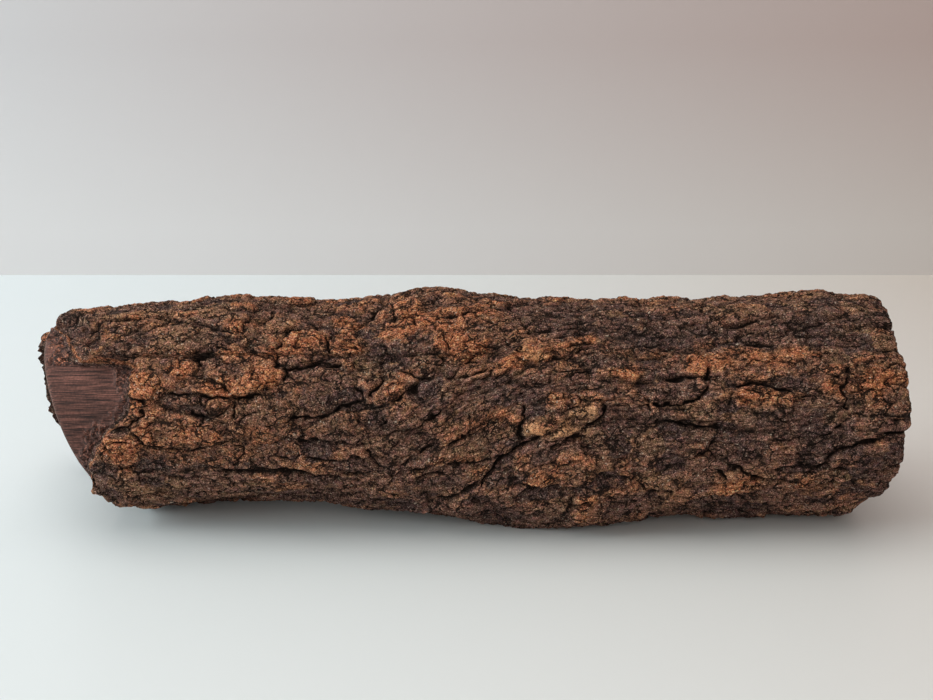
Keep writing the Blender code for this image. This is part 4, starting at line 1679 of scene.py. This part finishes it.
@dataclass(frozen=True)
class WoodFinish:
    """Bare purple-brown wood: fine strands on its side, rings and checks on its cut ends."""

    strand_dark: Colour = (0.018, 0.008, 0.007)
    strand_light: Colour = (0.270, 0.110, 0.083)
    # rim: lighter, painted along the rounded edge of the cut: painted highlight
    rim: Colour = (0.17, 0.10, 0.075)
    residue: Colour = (0.085, 0.036, 0.027)
    residue_rust: Colour = (0.46, 0.17, 0.095)
    crumb: Colour = (0.20, 0.085, 0.060)
    ring_dark: Colour = (0.055, 0.030, 0.024)
    ring_light: Colour = (0.125, 0.075, 0.055)
    # crack: near-black inside the crack: painted shade
    crack: Colour = (0.010, 0.006, 0.005)
    axis_height: float = 0.0504  # metres
    ring_width: float = 0.0019  # metres

    def material(self, effects: Effects) -> Material:
        """The wood's material.

        Args:
            effects: the shared shader groups.

        Returns:
            The material.
        """
        material, kit, shader = new_material("wood", 0.7, 0.3)
        grain = kit.places("grain")
        here = kit.make("TexCoord", output="Object")
        drawn = kit.scaled(grain, (0.6, 1, 1))
        fibre = effects.use(kit, effects.strands, Places=drawn, Width=0.00065)
        hair = effects.use(kit, effects.strands, Places=drawn, Width=0.00043)
        # grit: throughout the wood the crumbs' tops are painted lighter and the gaps darker: painted light
        # and shade
        grit = effects.use(kit, effects.speckle, Places=here, Grain=0.0010)
        broad = kit.between(fibre.outputs["Light"], 0.0, 0.8, 0.35, 1.0)
        fine = kit.times(hair.outputs["Light"], broad)
        side = kit.mix(fine, solid(self.strand_dark), solid(self.strand_light))
        cloud = kit.between(kit.noise(kit.scaled(grain, (0.4, 1, 1)), 90.0, 3.0), 0.3, 0.7, 0.7, 1.3)
        side = kit.shaded(side, kit.times(cloud, kit.between(grit.outputs["Light"], 0, 1, 0.7, 1.3)))
        patches = kit.plus(kit.noise(here, 260.0, 3.0), kit.times(grit.outputs["Light"], 0.4))
        crumbs = kit.between(kit.math("POWER", grit.outputs["Light"], 1.5), 0, 1, 0.25, 2.4)
        light = kit.between(patches, 0.62, 0.86)
        dull = kit.shaded(kit.mix(light, solid(self.residue), solid(self.crumb)), crumbs)
        rust = kit.shaded(kit.mix(light, solid(self.residue), solid(self.residue_rust)), crumbs)
        side = kit.mix(kit.mask("residue"), side, dull)
        side = kit.mix(kit.mask("scraps"), side, rust)
        # a lighter line along the rounded edge: painted highlight
        side = kit.mix(kit.times(kit.mask("rim"), 0.6), side, solid(self.rim))
        # the long crack painted near-black inside: painted shade
        side = kit.mix(kit.mask("crack"), side, solid(self.crack))
        base = kit.mix(kit.mask("end"), side, self.cut_face(kit, here, grit))
        kit.feed(shader.inputs["Base Color"], base)
        height = kit.plus(fibre.outputs["Height"], kit.times(grit.outputs["Height"], 0.4))
        bump = kit.make("Bump", {"Strength": 0.9, "Distance": 0.0006, "Height": height}, output="Normal")
        kit.feed(shader.inputs["Normal"], bump)
        return material

    def cut_face(self, kit: NodeKit, here: object, grit: bpy.types.Node) -> Socket:
        """The colour of a sawn end: rings round the pith, dulled by dirt.

        Args:
            kit: lays out the material's nodes.
            here: places on the piece.
            grit: the cork speckle's node.

        Returns:
            The colour.
        """
        centre = (0, 0, -self.axis_height)
        middle = kit.make("Mapping", {"Vector": here, "Location": centre, "Scale": (0, 1, 1)})
        warped = kit.mix(0.012, middle, kit.noise(middle, 45.0, 2.0, output="Color"), "LINEAR_LIGHT")
        away = kit.make("VectorMath", {0: warped}, output="Value", operation="LENGTH")
        rings = kit.math("SINE", kit.times(away, FULL_TURN / self.ring_width))
        dirt = kit.noise(here, 120.0, 4.0, 0.6)
        shade = kit.plus(kit.between(rings, -1, 1, 0, 0.6), kit.between(dirt, 0.3, 0.7, 0, 0.5))
        colour = kit.mix(shade, solid(self.ring_dark), solid(self.ring_light))
        # lighter on the crumbs' tops: painted light
        return kit.shaded(colour, kit.between(grit.outputs["Light"], 0, 1, 0.75, 1.25))


@dataclass(frozen=True)
class StageFinish:
    """A smooth, matt surface of the stage, seen from its front only, whose colour darkens evenly across it
    and upward: painted light falloff.
    """

    name: str
    left: Colour
    right: Colour
    upper_left: Colour
    upper_right: Colour
    roughness: float
    half_width: float = 0.42
    low: float = 0.04
    high: float = 0.20

    def material(self) -> Material:
        """The stage's material.

        Returns:
            The material.
        """
        material, kit, shader = new_material(self.name, self.roughness, 0.3)
        behind = kit.make("NewGeometry", output="Backfacing")
        shown = kit.make("MixShader", {0: behind, 1: shader.outputs[0], 2: kit.make("BsdfTransparent")})
        kit.feed(material.node_tree.nodes["Material Output"].inputs["Surface"], shown)
        apart = kit.make("SeparateXYZ", {0: kit.make("TexCoord", output="Object")}).node
        # lighter and cooler on the left, darker and warmer to the right and upward: painted light falloff
        across = kit.between(apart.outputs["X"], -self.half_width, self.half_width)
        up = kit.between(apart.outputs["Z"], self.low, self.high)
        lower = kit.mix(kit.math("POWER", across, 2.0), solid(self.left), solid(self.right))
        upper = kit.mix(across, solid(self.upper_left), solid(self.upper_right))
        kit.feed(shader.inputs["Base Color"], kit.mix(up, lower, upper))
        return material


@dataclass(frozen=True)
class Lamp:
    """A soft rectangular light."""

    name: str
    place: tuple[float, float, float]
    target: tuple[float, float, float]
    size: tuple[float, float]  # width and height in metres
    power: float  # watts
    colour: Colour


@dataclass
class Studio:
    """The table, the backdrop, the lights and the camera."""

    lamps: tuple[Lamp, ...] = (
        Lamp("overhead", (-0.15, 0.0, 1.3), (0, 0, 0.03), (1.6, 1.0), 9.6, (1.0, 0.95, 0.89)),
        Lamp("window", (-1.7, -0.4, 0.8), (0, 0, 0.05), (1.2, 1.0), 28, (0.84, 0.98, 1.0)),
        Lamp("front_fill", (0.3, -1.6, 0.9), (0, 0, 0.05), (1.6, 1.0), 5, (1.0, 0.94, 0.88)),
    )
    # the table and wall colours fall off from left to right, and the wall's also upward: painted light
    table_finish: StageFinish = StageFinish(
        "table", (0.725, 0.775, 0.80), (0.71, 0.655, 0.61), (0.725, 0.775, 0.80), (0.71, 0.655, 0.61), 0.35
    )
    wall_finish: StageFinish = StageFinish(
        "wall", (0.66, 0.635, 0.64), (0.617, 0.575, 0.556), (0.555, 0.535, 0.548), (0.49, 0.39, 0.37), 0.9
    )
    wall_y: float = 0.474
    width: float = 6.0
    room_colour: Colour = (1.0, 0.94, 0.88)
    room_strength: float = 0.35
    camera_place: tuple[float, float, float] = (0.0122, -0.498, 0.2318)
    camera_dip: float = math.radians(17.24)
    lens: float = 43.25

    def build(self) -> None:
        """Sets up the whole stage."""
        self.plane("table", (0, self.wall_y - self.width / 2, 0), 0, self.table_finish)
        self.plane("wall", (0, self.wall_y, self.width / 2), math.pi / 2, self.wall_finish)
        for lamp in self.lamps:
            self.hang(lamp)
        self.surroundings()
        self.camera()

    def plane(
        self, name: str, place: tuple[float, float, float], tilt: float, finish: StageFinish
    ) -> None:
        """Adds a flat sheet of the stage.

        Args:
            name: its name.
            place: its middle.
            tilt: how far it is turned about X.
            finish: its finish.
        """
        bpy.ops.mesh.primitive_plane_add(size=self.width, location=place, rotation=(tilt, 0, 0))
        sheet = bpy.context.object
        sheet.name = name
        sheet.data.materials.append(finish.material())
        bpy.ops.object.transform_apply(location=True, rotation=True, scale=True)

    @staticmethod
    def hang(lamp: Lamp) -> None:
        """Hangs a lamp and turns it to its target.

        Args:
            lamp: the lamp.
        """
        bpy.ops.object.light_add(type="AREA", location=lamp.place)
        light = bpy.context.object
        light.name = lamp.name
        light.data.shape = "RECTANGLE"
        light.data.size, light.data.size_y = lamp.size
        light.data.energy = lamp.power
        light.data.color = lamp.colour
        way = light.location.copy()
        way.x, way.y, way.z = (t - p for t, p in zip(lamp.target, lamp.place))
        light.rotation_euler = way.to_track_quat("-Z", "Y").to_euler()

    def surroundings(self) -> None:
        """Even light from the room."""
        world = bpy.data.worlds.new("room")
        world.use_nodes = True
        backdrop = world.node_tree.nodes["Background"]
        backdrop.inputs["Color"].default_value = solid(self.room_colour)
        backdrop.inputs["Strength"].default_value = self.room_strength
        bpy.context.scene.world = world
        bpy.context.scene.view_settings.view_transform = "Standard"

    def camera(self) -> None:
        """The camera, a little above the trunk and square to it."""
        turn = (math.pi / 2 - self.camera_dip, 0, 0)
        bpy.ops.object.camera_add(location=self.camera_place, rotation=turn)
        camera = bpy.context.object
        camera.data.lens = self.lens
        camera.data.sensor_width = 36.0
        camera.data.clip_start = 0.01
        bpy.context.scene.camera = camera


def main() -> None:
    """Loads the trunk's solid, dresses it and sets the stage."""
    logging.basicConfig(level=logging.INFO, format="%(name)s %(message)s")
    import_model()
    form = TrunkForm()
    effects = Effects()
    Bark(form).build(BarkFinish().material(effects))
    Wood(form).build(WoodFinish().material(effects))
    Studio().build()


if __name__ == "__main__":
    main()
